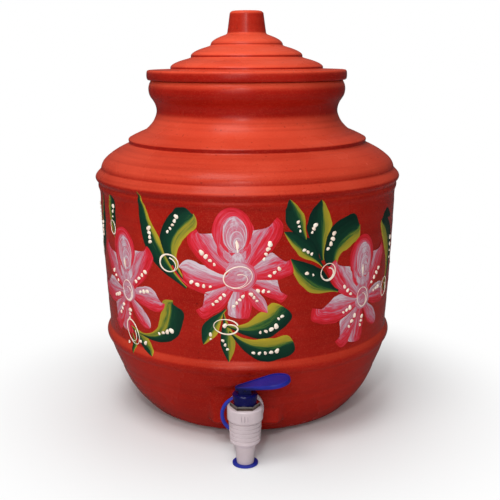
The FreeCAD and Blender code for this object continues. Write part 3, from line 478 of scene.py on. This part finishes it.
class Paint:
    """Strokes of one colouring, gathered into one piece.

    Its UV map holds the place in the colouring, and the stroke's number plus the share of its length.
    """

    def __init__(self, name, material):
        self.name = name
        self.material = material
        self.vertices = []
        self.faces = []
        self.marks = []
        self.total = 0
        self.strokes = 0

    def grid(self, points, marks, flip):
        rows, columns = points.shape[:2]
        first = self.total
        self.vertices.append(points.reshape(-1, 3))
        self.marks.append(marks.reshape(-1, 2))
        self.total += rows * columns
        for row in range(rows - 1):
            for column in range(columns - 1):
                corner = first + row * columns + column
                face = (corner, corner + columns, corner + columns + 1, corner + 1)
                self.faces.append(face if flip > 0 else face[::-1])

    def ribbon(self, spot, spine, half_widths, tones, layer, columns, slant=0.0):
        """A stroke along a spine. The slant pushes its left side ahead and its right side back."""
        along = np.gradient(spine, axis=0)
        along /= np.maximum(np.hypot(along[:, 0], along[:, 1]), 1e-9)[:, None]
        left = np.column_stack([-along[:, 1], along[:, 0]])
        side = np.linspace(-1, 1, columns)
        places = spine[:, None, :] + left[:, None, :] * side[None, :, None] * half_widths[:, None, None]
        push = np.broadcast_to(slant, len(spine))
        places = places + along[:, None, :] * side[None, :, None] * push[:, None, None]
        hump = (PAINT_THICKNESS + EDGE_SUNK) * (1 - side ** 4) - EDGE_SUNK
        lift = LAYER * layer + np.broadcast_to(hump, places.shape[:2])
        points = spot.on_wall(places[..., 0], places[..., 1], lift)
        across = np.broadcast_to(np.interp(side, [-1, 0, 1], tones), places.shape[:2])
        down = np.broadcast_to(np.linspace(0.02, 0.98, len(spine))[:, None], places.shape[:2])
        self.grid(points, np.stack([across, down + self.strokes], axis=-1), spot.flip)
        self.strokes += 1

    def stroke(self, spot, start, tip, width, bow=0.0, tone="left", layer=0, fullest=0.6, heel=0.12,
               end="round", skew=0.0):
        """A loaded brush set down on its heel, pressed to its full width and lifted off in a tip.

        With skew, the stroke's left side runs on that much further than its middle, and the right side stops
        that much short, as from a flat brush held aslant.
        """
        stations = max(12, round(math.dist(start, tip) / STROKE_STEP))
        t = np.sin(np.linspace(0, 1, stations) * math.pi / 2)
        spine = bowed(start, tip, bow, t)
        rise = heel + (1 - heel) * smoothstep(t / fullest)
        past = np.clip((t - fullest) / (1 - fullest), 0, 1)
        power, root = ENDS[end]
        fall = (1 - past ** power) ** root
        unsteady = 1 + 0.03 * np.sin(t * 15 + self.strokes) + 0.015 * np.sin(t * 33 + 2 * self.strokes)
        slant = skew * smoothstep((t - 0.3) / 0.7)
        half_widths = rise * fall * unsteady * width / 2 + FINEST
        self.ribbon(spot, spine, half_widths, TONES[tone], layer, STROKE_COLUMNS, slant)

    def sweep(self, spot, centre, size, start, end, width, tone, layer):
        """A broad stroke that sweeps round an oval, from one angle to another. Angles start at the right."""
        stations = max(16, round(abs(end - start) / 5))
        t = np.linspace(0, 1, stations)
        turn = np.radians(start + (end - start) * t)
        spine = np.column_stack([
            centre[0] + np.cos(turn) * size[0] / 2,
            centre[1] + np.sin(turn) * size[1] / 2,
        ])
        swell = np.minimum(1, 0.25 + 5 * t) * np.minimum(1, 0.25 + 5 * (1 - t))
        unsteady = 1 + 0.04 * np.sin(t * 11 + self.strokes)
        self.ribbon(spot, spine, swell * unsteady * width / 2, TONES[tone], layer, STROKE_COLUMNS)

    def line(self, spot, start, tip, bow, width, tone):
        """A thin line drawn with the brush's point."""
        stations = max(8, round(math.dist(start, tip) / LINE_STEP))
        spine = bowed(start, tip, bow, np.linspace(0, 1, stations))
        thinning = np.linspace(1.0, 0.45, stations)
        self.ribbon(spot, spine, thinning * width / 2, TONES[tone], LINE_LAYER, LINE_COLUMNS)

    def loop(self, spot, centre, width, height, tilt=0.0, line=1.3, layer=LOOP_LAYER, tone="even",
             turns=1.0, inner=1.0, grown=0.6):
        """A loop drawn with the brush's point. With inner below 1 it starts small at the top, and winds out.

        It's fully grown after that many turns.
        """
        stations = round(48 * turns) + 1
        t = np.linspace(0, turns, stations)
        turn = math.pi / 2 - TURN * t
        size = inner + (1 - inner) * smoothstep(t / grown)
        size = size * (1 + 0.035 * np.sin(2.3 * turn + self.strokes) * (inner < 1))
        x = np.cos(turn) * width / 2 * size
        y = np.sin(turn) * height / 2 * size
        lean = math.radians(tilt)
        spine = np.column_stack([
            centre[0] + x * math.cos(lean) - y * math.sin(lean),
            centre[1] + x * math.sin(lean) + y * math.cos(lean),
        ])
        pressure = 0.8 + 0.3 * np.sin(turn + width)
        self.ribbon(spot, spine, pressure * line / 2, TONES[tone], layer, LINE_COLUMNS)

    def dot(self, spot, centre, radius):
        """A drop of thick paint set down with the end of a stick."""
        turn = np.linspace(0, TURN, DROP_POINTS)
        heights = DROP_HEIGHTS * radius
        shift = self.strokes * 2.3
        uneven = 1 + 0.16 * np.sin(2 * turn + shift) + 0.08 * np.sin(3 * turn + 2 * shift)
        places = DROP_RINGS[:, None] * radius * uneven[None, :]
        across = centre[0] + places * np.cos(turn)[None, :]
        up = centre[1] + places * np.sin(turn)[None, :]
        lift = LAYER * DOT_LAYER + np.broadcast_to(heights[:, None], across.shape)
        points = spot.on_wall(across, up, lift)
        marks = np.full((*across.shape, 2), 0.5 + self.strokes)
        marks[..., 0] = 0.5
        self.grid(points, marks, -spot.flip)
        self.strokes += 1

    def dots(self, spot, first, last, count, radius, bow=0.0):
        """A row of drops that get smaller as the stick runs dry."""
        for index, place in enumerate(bowed(first, last, bow, np.linspace(0, 1, count))):
            uneven = 1 + 0.12 * math.sin(5 * self.strokes)
            self.dot(spot, place, uneven * radius * (1 - 0.3 * index / max(count - 1, 1)))

    def make(self):
        piece = link_mesh(self.name, np.concatenate(self.vertices) * MM, self.faces, self.material)
        marks = np.concatenate(self.marks)
        layer = piece.data.uv_layers.new(name="stroke")
        order = np.zeros(len(piece.data.loops), dtype=np.int32)
        piece.data.loops.foreach_get("vertex_index", order)
        layer.data.foreach_set("uv", marks[order].astype(np.float32).ravel())
        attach(piece, "pot")


def brushed_finish(name, tones, roughness=0.42, wander=0.55, fine=0.35):
    """Two colours on one brush: tones from one edge to the other, dragged out in bristle streaks."""
    finish = Finish(name, Specular_IOR_Level=0.18)
    marks = finish.add("ShaderNodeUVMap", uv_map="stroke").outputs["UV"]
    parts = finish.add("ShaderNodeSeparateXYZ", {"Vector": marks})
    across, along = parts.outputs["X"], parts.outputs["Y"]
    number = finish.maths("FLOOR", along)
    lane = finish.add("ShaderNodeCombineXYZ", {
        "X": finish.maths("MULTIPLY", across, 9.0),
        "Y": finish.maths("MULTIPLY", along, 1.6),
        "Z": finish.maths("MULTIPLY", number, 3.7),
    }).outputs["Vector"]
    streaks = finish.noise(1.0, 3, 0.6, lane)
    bristles = finish.noise(4.5, 2, 0.5, lane)
    loaded = finish.noise(0.35, 1, 0.5, lane)
    place = finish.maths("ADD", across, finish.ramp(streaks, 0.2, 0.8, -wander / 2, wander / 2))
    place = finish.maths("ADD", place, finish.ramp(bristles, 0.25, 0.75, -fine / 2, fine / 2))
    place = finish.maths("ADD", place, finish.ramp(loaded, 0.3, 0.7, -0.1, 0.1))
    ramp = finish.add("ShaderNodeValToRGB", {"Fac": place})
    stops = ramp.color_ramp.elements
    stops[0].position, stops[0].color = tones[0]
    stops[1].position, stops[1].color = tones[-1]
    for position, colour in tones[1:-1]:
        stops.new(position).color = colour
    finish.feed("Base Color", ramp.outputs["Color"])
    finish.feed("Roughness", finish.ramp(bristles, 0.3, 0.7, roughness, roughness + 0.14))
    finish.bump(bristles, 0.10 * MM, 0.7)
    return finish.material


def petal_finish():
    return brushed_finish("petal_paint", [
        (0.0, linear(200, 182, 190)),
        (0.2, linear(188, 142, 156)),
        (0.45, linear(192, 104, 124)),
        (0.64, linear(204, 52, 74)),
        (0.85, linear(206, 26, 42)),
        (1.0, linear(186, 18, 28)),
    ])


def leaf_finish():
    return brushed_finish("leaf_paint", [
        (0.0, linear(172, 150, 34)),
        (0.3, linear(140, 132, 36)),
        (0.46, linear(58, 98, 38)),
        (0.58, linear(6, 58, 38)),
        (1.0, linear(2, 38, 28)),
    ], wander=0.2, fine=0.14)


def cream_finish():
    return brushed_finish("cream_paint", [
        (0.0, linear(250, 238, 222)),
        (1.0, linear(232, 208, 188)),
    ], roughness=0.35, wander=0.8)


class Palette:
    """The three colourings that the painter worked with."""

    def __init__(self):
        self.petals = Paint("painted_petals", petal_finish())
        self.leaves = Paint("painted_leaves", leaf_finish())
        self.cream = Paint("painted_dots_and_loops", cream_finish())

    def make(self):
        self.petals.make()
        self.leaves.make()
        self.cream.make()


def bud(palette, spot, lean=0.0, layer=BUD_LAYER):
    """The closed bud in the middle: a red crown, a pale cup and a swirl that closes on its foot."""
    petals = palette.petals
    petals.stroke(spot, (1, 0), (-5 + lean, 57), 33, tone="rim", layer=layer, fullest=0.5, heel=0.45,
                  end="blunt")
    petals.sweep(spot, (-3 + lean, 33), (27, 40), 195, 345, 10, "cup", layer + 1)
    petals.sweep(spot, (-2.5 + lean, 28), (20, 30), 205, 335, 9, "wash", layer + 2)
    petals.stroke(spot, (0, 0), (0, 20), 19, tone="wash", layer=layer + 3, fullest=0.4, heel=0.5)
    petals.sweep(spot, (-4.5 + lean, 35), (26, 39), -30, 210, 9, "crown", layer + 4)
    petals.stroke(spot, (-1.5 + lean, 20), (-3 + lean, 51.5), 22, tone="pale", layer=layer + 5,
                  fullest=0.35, heel=0.6, end="blunt")
    for ring in range(8):
        size = 1 - 0.11 * ring
        centre = (-2.3 + lean + 0.4 * ring, 35.5 - 1.3 * ring)
        petals.loop(spot, centre, 19.5 * size, 28.5 * size, line=1.5, layer=layer + 6 + ring * 0.4,
                    tone="blush" if ring % 2 else "white")
    palette.cream.stroke(spot, (0, 20), (-1, 31), 3.5, layer=layer + 10, end="point")


def heart(palette, spot, size):
    """The pale wash over the middle of a flower, under its loops."""
    petals = palette.petals
    petals.sweep(spot, (0, -1), (size, size * 0.75), 150, -170, size * 0.5, "blush", HEART_LAYER)
    petals.stroke(spot, (-size / 2, -4), (size / 2, 3), size * 0.75, tone="wash", layer=HEART_LAYER + 1,
                  fullest=0.5, heel=0.3)


def front_flower(palette, spot):
    """Eight petals round a bud, the lowest first, with rows of dots down them."""
    petals, cream = palette.petals, palette.cream
    petals.stroke(spot, (5, -6), (26, -35), 13, bow=-1, tone="left", layer=1, heel=0.4, end="point")
    petals.stroke(spot, (1, -3), (0, -39), 21, bow=1, tone="right", layer=2, fullest=0.65, heel=0.4,
                  end="chisel")
    petals.stroke(spot, (3, -5), (37, -16), 18, bow=2, tone="left", layer=3, fullest=0.65, heel=0.4,
                  end="chisel", skew=-7)
    petals.stroke(spot, (-2, -5), (-32, -30), 21, bow=2, tone="right", layer=4, fullest=0.7, heel=0.4,
                  end="chisel", skew=7)
    petals.stroke(spot, (0, -4), (-50, 3), 25, bow=5, tone="right", layer=5, fullest=0.68, heel=0.35,
                  end="blunt", skew=-3)
    petals.stroke(spot, (3, -1), (41, 11), 25, bow=-1, tone="left", layer=6, fullest=0.66, heel=0.35,
                  end="chisel", skew=-5)
    petals.stroke(spot, (0, -1), (-33, 36), 27, bow=3, tone="right", layer=7, fullest=0.62, heel=0.35,
                  end="chisel", skew=4)
    petals.stroke(spot, (4, 0), (27, 43), 28, bow=2, tone="left", layer=8, fullest=0.62, heel=0.35,
                  end="blunt", skew=-9)
    bud(palette, spot)
    heart(palette, spot, 22)
    cream.loop(spot, (0, -2), 24.5, 19, tilt=12, line=1.1, turns=1.6, inner=0.25)
    cream.dots(spot, (-31, 19), (-20, 9), 4, 2.1)
    cream.dots(spot, (-41, -8), (-24, -11), 4, 1.9, bow=-1)
    cream.dots(spot, (-12, -18), (-22, -27), 4, 1.8)
    cream.dots(spot, (4, -19), (-4, -28), 4, 1.8)
    cream.dots(spot, (11, -17), (16, -23), 3, 1.8)
    cream.dots(spot, (17, -14), (26, -15), 3, 1.7)
    cream.dots(spot, (35, 5), (27, -1), 3, 2.0)
    cream.dots(spot, (27, 27), (22, 14), 4, 2.1)


def side_flower(palette, spot):
    """A flower like the front one, with seven petals and a bud that leans to the right."""
    petals, cream = palette.petals, palette.cream
    petals.stroke(spot, (3, -5), (29, -31), 16, bow=-1, tone="left", layer=1, heel=0.4)
    petals.stroke(spot, (-1, -3), (-7, -42), 21, tone="right", layer=2, fullest=0.65, heel=0.4, end="chisel")
    petals.stroke(spot, (3, -2), (45, -4), 21, bow=1, tone="left", layer=3, fullest=0.65, heel=0.4,
                  end="blunt", skew=-5)
    petals.stroke(spot, (-3, -5), (-27, -33), 24, bow=2, tone="right", layer=4, fullest=0.7, heel=0.4,
                  end="chisel", skew=6)
    petals.stroke(spot, (-3, -2), (-49, -3), 26, bow=3, tone="right", layer=5, fullest=0.62, heel=0.35,
                  end="chisel", skew=9)
    petals.stroke(spot, (-2, 1), (-33, 36), 24, bow=4, tone="right", layer=6, fullest=0.64, heel=0.35,
                  end="chisel", skew=7)
    petals.stroke(spot, (4, 0), (29, 42), 26, bow=0, tone="left", layer=7, fullest=0.62, heel=0.35,
                  end="blunt", skew=-5)
    bud(palette, spot, lean=3, layer=8)
    heart(palette, spot, 17)
    cream.loop(spot, (1, 0), 15, 19, tilt=10, line=1.1, turns=1.6, inner=0.35)
    cream.dots(spot, (-24, 14), (-16, 6), 3, 2.0)
    cream.dots(spot, (-16, -7), (-24, -10), 3, 2.0)
    cream.dots(spot, (-9, -16), (-16, -25), 3, 2.0)
    cream.dots(spot, (2, -19), (0, -27), 3, 2.0)
    cream.dots(spot, (29, 4), (20, 2), 3, 2.0)
    cream.dots(spot, (28, 22), (15, 11), 4, 2.1)


def left_leaves(palette, spot):
    """A long leaf and a broad curled one that meet in a loop, beside a flower's left petals."""
    leaves, cream = palette.leaves, palette.cream
    leaves.stroke(spot, (-46, -14), (-91, 68), 22, bow=11, tone="right_edge", layer=0, fullest=0.45,
                  end="point")
    leaves.stroke(spot, (-46, -9), (-38, 52), 25, bow=19, tone="right_edge", layer=1, fullest=0.7,
                  end="chisel", skew=-1)
    cream.dots(spot, (-82, 36), (-81, 24), 4, 2.3)
    cream.dots(spot, (-53, 49), (-62, 35), 5, 1.8, bow=1)
    cream.loop(spot, (-62, 7), 18, 16, tilt=-10, turns=1.9, inner=0.6)
    palette.petals.line(spot, (-59, 5), (-26, -18), bow=-5, width=2.0, tone="dark")


def right_leaves(palette, spot):
    """Five leaves in a spray that meet in a loop, between two flowers."""
    leaves, cream = palette.leaves, palette.cream
    leaves.stroke(spot, (-20, 26), (-38, 67), 19, bow=2, tone="right_edge", layer=0, end="point")
    leaves.stroke(spot, (-6, 11), (-9, 65), 27, bow=2, tone="right_edge", layer=1, end="point")
    leaves.stroke(spot, (-6, 6), (-42, 39), 18, bow=-2, tone="left_edge", layer=2, fullest=0.5, end="point")
    leaves.stroke(spot, (12, -19), (-36, 15), 23, bow=4, tone="left_edge", layer=3, fullest=0.5, end="point")
    leaves.stroke(spot, (12, -13), (35, 38), 28, bow=20, tone="right_edge", layer=4, fullest=0.7,
                  end="chisel", skew=-1)
    cream.dots(spot, (-30, 47), (-28, 39), 3, 1.6)
    cream.dots(spot, (-14, 43), (-17, 37), 3, 1.9)
    cream.dots(spot, (-24, 22), (-17, 18), 3, 1.7)
    cream.dots(spot, (-21, 1), (-15, -1), 2, 1.7)
    cream.dots(spot, (5, 34), (-1, 21), 4, 2.2, bow=1)
    cream.loop(spot, (0, 0), 15, 15, turns=1.7, inner=0.5)


def low_leaves_front(palette, spot):
    """Two leaves to the right and two small ones below, from a flat loop under a flower."""
    leaves, cream = palette.leaves, palette.cream
    leaves.stroke(spot, (-2, 12), (2, -33), 15, bow=1, tone="left", layer=0, end="point")
    leaves.stroke(spot, (0, 16), (-21, -18), 16, bow=-2, tone="left", layer=1, end="point")
    leaves.stroke(spot, (3, -4), (60, -16), 22, bow=-11, tone="left", layer=2, fullest=0.6, end="chisel")
    leaves.stroke(spot, (1, 1), (51, 17), 25, bow=-10, tone="left", layer=3, fullest=0.65, end="chisel")
    cream.dots(spot, (44, 0), (30, -5), 4, 2.1, bow=1)
    cream.dots(spot, (49, 9), (46, 7), 2, 1.6)
    cream.dots(spot, (45, -23), (24, -24), 5, 2.0, bow=1)
    cream.dots(spot, (-14, -8), (-14, -12), 2, 1.6)
    cream.dots(spot, (-3, -13), (1, -21), 3, 1.6)
    cream.loop(spot, (0, 0), 21, 14, tilt=-4, turns=1.2, inner=0.2, grown=0.3)
    cream.dot(spot, (-1, 1), 2.1)


def low_leaves_left(palette, spot):
    """A broad curled leaf and small ones, from a loop low beside a flower."""
    leaves, cream = palette.leaves, palette.cream
    leaves.stroke(spot, (-3, -2), (2, -20), 7, tone="left", layer=0, end="point")
    leaves.stroke(spot, (-6, 6), (28, -17), 14, bow=2, tone="left", layer=1, end="point")
    leaves.stroke(spot, (10, 1), (53, 37), 25, bow=-15, tone="left", layer=2, fullest=0.75,
                  end="chisel", skew=3)
    cream.dots(spot, (50, 11), (36, 6), 4, 2.2)
    cream.dots(spot, (17, -7), (10, -7), 2, 2.0)
    cream.dot(spot, (-9, -12), 1.4)
    cream.loop(spot, (-1, 0), 24, 17, tilt=-60, turns=1.5, inner=0.5)


def edge_leaf(palette, spot):
    """A broad leaf that curls away from a flower's right petals."""
    palette.leaves.stroke(spot, (43, -8), (30, 67), 28, bow=-20, tone="left", layer=0, fullest=0.7)
    palette.leaves.stroke(spot, (55, 67), (34, 63), 13, bow=-6, tone="dark", layer=1, fullest=0.5, heel=0.3)
    palette.cream.loop(spot, (46, 0), 15, 19, turns=1.4, inner=0.4)
    palette.cream.dots(spot, (58, 46), (60, 26), 4, 2.0)


def upper_leaf(palette, spot):
    """A lone leaf that hangs from the bead to a loop."""
    palette.leaves.stroke(spot, (6, -42), (0, 6), 17, bow=3, tone="left", layer=0, fullest=0.75)
    palette.cream.loop(spot, (0, -24), 9, 13, tilt=15)
    palette.cream.dots(spot, (3, -4), (1, -14), 3, 1.8)


# Seven flowers, with leaves between and below them, in the order of painting: what, degrees, height and flip
PAINTING = [
    (left_leaves, -2.3, 166, 1),
    (left_leaves, 152, 160, -1),
    (left_leaves, -103, 158, -1),
    (right_leaves, 30.1, 164, 1),
    (right_leaves, -176, 160, 1),
    (low_leaves_front, -6.7, 119, 1),
    (low_leaves_front, 147, 114, 1),
    (low_leaves_front, -98, 112, -1),
    (low_leaves_left, -47.6, 99, 1),
    (low_leaves_left, 96, 100, 1),
    (low_leaves_left, -153, 100, 1),
    (edge_leaf, 47.3, 133, 1),
    (upper_leaf, -57, 219, 1),
    (upper_leaf, 118, 219, -1),
    (edge_leaf, -155, 138, 1),
    (front_flower, -2.3, 166, 1),
    (side_flower, -49.3, 139, 1),
    (side_flower, 47.3, 133.5, 1),
    (front_flower, 152, 160, -1),
    (front_flower, -103, 158, 1),
    (side_flower, 99, 140, -1),
    (side_flower, -155, 138, 1),
]


def paint_pot():
    palette = Palette()
    for paint, degrees, height, flip in PAINTING:
        paint(palette, Spot(degrees, height, flip))
    palette.make()


# Lid
LID_CLEAR = 0.3
LID_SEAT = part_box("pot_body")[1].z / MM + LID_CLEAR
LID_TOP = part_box("lid")[1].z / MM
LID_AROUND = 256


def make_lid(clay):
    seat = LID_SEAT
    steps = [
        (81.6, seat - 9.0, 0),
        (81.6, seat, 0),
        (95.7, seat, 0),
        (96.7, seat + 1.0, 0),
        (96.7, seat + 8.6, 0.2),
        (95.7, seat + 9.6, 0),
        (73.6, seat + 10.4, 0),
        (54.4, seat + 20.8, 6.2),
        (53.6, seat + 21.6, 0),
        (35.5, seat + 32.0, 5.4),
        (34.7, seat + 32.8, 0),
        (19.5, seat + 42.8, 4.1),
        (18.7, seat + 43.6, 0),
        (16.2, LID_TOP - 2.6, 0),
        (13.6, LID_TOP, 0.7),
        (0, LID_TOP, 0),
    ]
    under = [
        (14.0, seat + 20.0, 0),
        (73.6, seat, 12.0),
        (73.6, seat - 9.0, 0),
    ]
    start = (0, seat + 20.0)
    profile = softened(profile_points(start, under + steps, PROFILE_SPACING), SOFTENING)
    angles = evenly_round(LID_AROUND)
    rings = [
        ring_points(hand_made(radius, height, angles), height, angles) for radius, height in profile[1:-1]
    ]
    piece = lathe("clay_lid", rings, (profile[0][1], profile[-1][1]), clay)
    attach(piece, "lid")
    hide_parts("lid")


# Tap, in metres
TAP_AXIS = (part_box("gland_nut")[0].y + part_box("gland_nut")[1].y) / 2
BARREL_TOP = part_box("gland_nut")[0].z
NUT_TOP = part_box("gland_nut")[1].z
# Below the first height the nut's colour is painted shade, fading to its bright plating by the second
NUT_FULL_SHADE = NUT_TOP - 2.2 * MM
NUT_BRIGHT = NUT_TOP - 0.4 * MM
LEVER_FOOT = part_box("lever")[0].z
FORK_DARK = LEVER_FOOT + 4.0 * MM
FORK_LIGHT = LEVER_FOOT + 9.0 * MM
MARK_PITCH = 2.9 * MM
MARK_WIDTH = 0.9 * MM
MARK_LENGTH = 5.8 * MM
MARK_REACH = 15.85 * MM
MARK_HEIGHT = BARREL_TOP + 1.0 * MM
MARK_ROWS = 8
MARK_SIDES = 8


def lever_finish():
    """Blue moulding, darker down in the fork where little light gets in."""
    finish = Finish("blue_lever", Specular_IOR_Level=0.22)
    flow = finish.noise(60, 3)
    scuffs = finish.noise(700, 4, 0.7)
    moulded = finish.mix(finish.ramp(flow, 0.3, 0.7), linear(24, 30, 128), linear(32, 38, 142))
    fork = linear(14, 14, 62)
    finish.feed("Base Color", finish.mix(finish.ramp(finish.height(), FORK_DARK, FORK_LIGHT), fork, moulded))
    finish.feed("Roughness", finish.ramp(scuffs, 0.35, 0.7, 0.32, 0.44))
    finish.bump(flow, 0.05 * MM, 0.3)
    return finish.material


def make_barrel_marks(white):
    """Three short upright ribs moulded on the front of the barrel, each with rounded ends."""
    for index in (-1, 0, 1):
        turned = index * MARK_PITCH / MARK_REACH
        vertices, faces = [], []
        for row in range(MARK_ROWS + 1):
            up = math.cos(math.pi * row / MARK_ROWS) * MARK_LENGTH / 2
            girth = math.sin(math.pi * row / MARK_ROWS) ** 0.5 * MARK_WIDTH / 2
            for side in range(MARK_SIDES):
                around = TURN * side / MARK_SIDES
                x = MARK_REACH * math.sin(turned) + girth * math.cos(around)
                y = -MARK_REACH * math.cos(turned) + girth * math.sin(around)
                vertices.append((x, TAP_AXIS + y, MARK_HEIGHT + up))
        for low in range(0, MARK_ROWS * MARK_SIDES, MARK_SIDES):
            for side in range(MARK_SIDES):
                after = (side + 1) % MARK_SIDES
                faces.append((low + side, low + after, low + MARK_SIDES + after, low + MARK_SIDES + side))
        mark = link_mesh(f"barrel_mark_{index + 2}", vertices, faces, white)
        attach(mark, "pot")


def nut_finish():
    """Bright plating, painted darker low down where it meets the barrel: painted shade."""
    finish = Finish("plated_nut", Metallic=1.0)
    haze = finish.noise(260, 3)
    unshaded = finish.ramp(finish.height(), NUT_FULL_SHADE, NUT_BRIGHT)
    plated = finish.mix(unshaded, linear(96, 82, 74), linear(214, 206, 198))
    hazed = finish.mix(finish.ramp(haze, 0.4, 0.75, 0.0, 0.4), plated, linear(84, 72, 66))
    finish.feed("Base Color", hazed)
    finish.feed("Roughness", finish.ramp(haze, 0.3, 0.7, 0.12, 0.22))
    finish.bump(haze, 0.03 * MM, 0.4)
    return finish.material


def make_stretching(name, node):
    """Stands in for a node that stretches: a copy of its mesh, baked where the node stands, with the node
    itself hidden.
    """
    piece = bpy.data.objects.new(name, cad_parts[node].data.copy())
    bpy.context.scene.collection.objects.link(piece)
    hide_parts(node)
    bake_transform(piece)


def dress_tap():
    """Gives each piece of the tap its material."""
    white = moulded_finish("white_plastic", linear(206, 190, 194), 0.3)
    dark_blue = moulded_finish("dark_blue_plastic", linear(12, 12, 74), 0.16, sheen=0.25)
    blue = lever_finish()
    chrome = nut_finish()
    steel = metal_finish("steel", linear(110, 110, 118), 0.3)
    # The pin's steel is painted dark bluish: painted shade of the fork it sits in
    pin = metal_finish("pin_steel_painted_shade", linear(38, 38, 60), 0.4)
    silicone = rubber_finish("blue_silicone", linear(22, 42, 156), 0.45)
    black = rubber_finish("black_rubber", linear(30, 30, 32), 0.6)
    pale = rubber_finish("white_silicone", linear(222, 222, 218), 0.5)
    finishes = {
        "tap_body": white, "tail_nut": white, "outer_washer": black, "inner_washer": black,
        "gland_nut": chrome, "bonnet": dark_blue, "lever": blue, "lever_pin": pin,
        "valve_stem": dark_blue, "valve_seal": pale, "stem_seal": black, "return_spring": steel,
        "spout_cap": silicone, "cap_tether": silicone,
    }
    for node, material in finishes.items():
        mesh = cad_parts[node].data
        mesh.materials.clear()
        mesh.materials.append(material)


def make_tap_pieces():
    """The barrel's marks, in a greyer plastic that is painted shade, and the pieces that stretch, whose
    materials come from the dressed tap.
    """
    # The marks are greyer than the barrel: painted shade along the ribs
    make_barrel_marks(moulded_finish("barrel_marks_painted_shade", linear(172, 156, 162), 0.3))
    make_stretching("tether", "cap_tether")
    make_stretching("coil", "return_spring")


# Floor, backdrop and lights
FLOOR_HALF = 6.0
FLOOR_SHADE = 0.86
FLOOR_IN_GLOSS = 0.2
FADE_FROM = 0.10
FADE_TO = 0.32
WORLD_LIGHT = 0.3
WORLD_IN_GLOSS = 0.08


def floor_finish():
    """Pale and matt near the pot, fading into the white of the backdrop further out."""
    finish = Finish("floor", Roughness=0.9)
    away = finish.add("ShaderNodeVectorMath", {0: finish.coordinates}, operation="LENGTH").outputs["Value"]
    fade = finish.ramp(away, FADE_FROM, FADE_TO)
    white = finish.add("ShaderNodeEmission", {"Color": (1, 1, 1, 1), "Strength": 1.0}).outputs["Emission"]
    sight = finish.add("ShaderNodeLightPath")
    shade = finish.ramp(sight.outputs["Is Glossy Ray"], 0.0, 1.0, FLOOR_SHADE, FLOOR_IN_GLOSS)
    finish.feed("Base Color", shade)
    factor = finish.maths("MULTIPLY", fade, sight.outputs["Is Camera Ray"])
    tree = finish.tree
    blend = tree.nodes.new("ShaderNodeMixShader")
    tree.links.new(factor, blend.inputs[0])
    tree.links.new(finish.shader.outputs["BSDF"], blend.inputs[1])
    tree.links.new(white, blend.inputs[2])
    tree.links.new(blend.outputs["Shader"], tree.nodes["Material Output"].inputs["Surface"])
    return finish.material


def make_floor():
    corners = [(x * FLOOR_HALF, y * FLOOR_HALF, 0) for x, y in ((-1, -1), (1, -1), (1, 1), (-1, 1))]
    floor = link_mesh("floor", corners, [(0, 1, 2, 3)], floor_finish(), smooth=False)


def make_world():
    """A white backdrop that lights the object gently, and shows even less in its gloss."""
    world = bpy.data.worlds.new("studio")
    world.use_nodes = True
    bpy.context.scene.world = world
    tree = world.node_tree
    light = tree.nodes["Background"]
    light.inputs["Color"].default_value = (1, 1, 1, 1)
    strength = tree.nodes.new("ShaderNodeMapRange")
    strength.inputs["To Min"].default_value = WORLD_LIGHT
    strength.inputs["To Max"].default_value = WORLD_IN_GLOSS
    shown = tree.nodes.new("ShaderNodeBackground")
    shown.inputs["Color"].default_value = (1, 1, 1, 1)
    shown.inputs["Strength"].default_value = 1.0
    sight = tree.nodes.new("ShaderNodeLightPath")
    blend = tree.nodes.new("ShaderNodeMixShader")
    tree.links.new(sight.outputs["Is Glossy Ray"], strength.inputs["Value"])
    tree.links.new(strength.outputs["Result"], light.inputs["Strength"])
    tree.links.new(sight.outputs["Is Camera Ray"], blend.inputs[0])
    tree.links.new(light.outputs["Background"], blend.inputs[1])
    tree.links.new(shown.outputs["Background"], blend.inputs[2])
    tree.links.new(blend.outputs["Shader"], tree.nodes["World Output"].inputs["Surface"])


def make_lamp(name, place, target, size, power, mirrored=True):
    lamp = bpy.data.lights.new(name, "AREA")
    lamp.shape = "RECTANGLE"
    lamp.size, lamp.size_y = size
    lamp.energy = power
    holder = bpy.data.objects.new(name, lamp)
    holder.location = place
    aim = Vector(target) - Vector(place)
    holder.rotation_euler = aim.to_track_quat("-Z", "Y").to_euler()
    holder.visible_glossy = mirrored
    bpy.context.scene.collection.objects.link(holder)


def make_lamps():
    middle = (0, 0, 0.2)
    make_lamp("key", (-0.2, -0.45, 1.05), (0, -0.05, 0.25), (0.5, 0.5), 5.5)
    make_lamp("front", (-0.35, -1.7, 0.6), middle, (0.9, 0.9), 8.5)
    make_lamp("glint", (-0.06, -0.95, 0.75), middle, (0.06, 0.06), 1.8)
    make_lamp("back", (0.1, 0.9, 1.2), middle, (0.8, 0.8), 4, mirrored=False)


bpy.context.scene.view_settings.view_transform = "Standard"
make_camera()
make_world()
make_lamps()
make_floor()
clay = clay_finish()
make_pot(clay)
make_lid(clay)
paint_pot()
dress_tap()
make_tap_pieces()
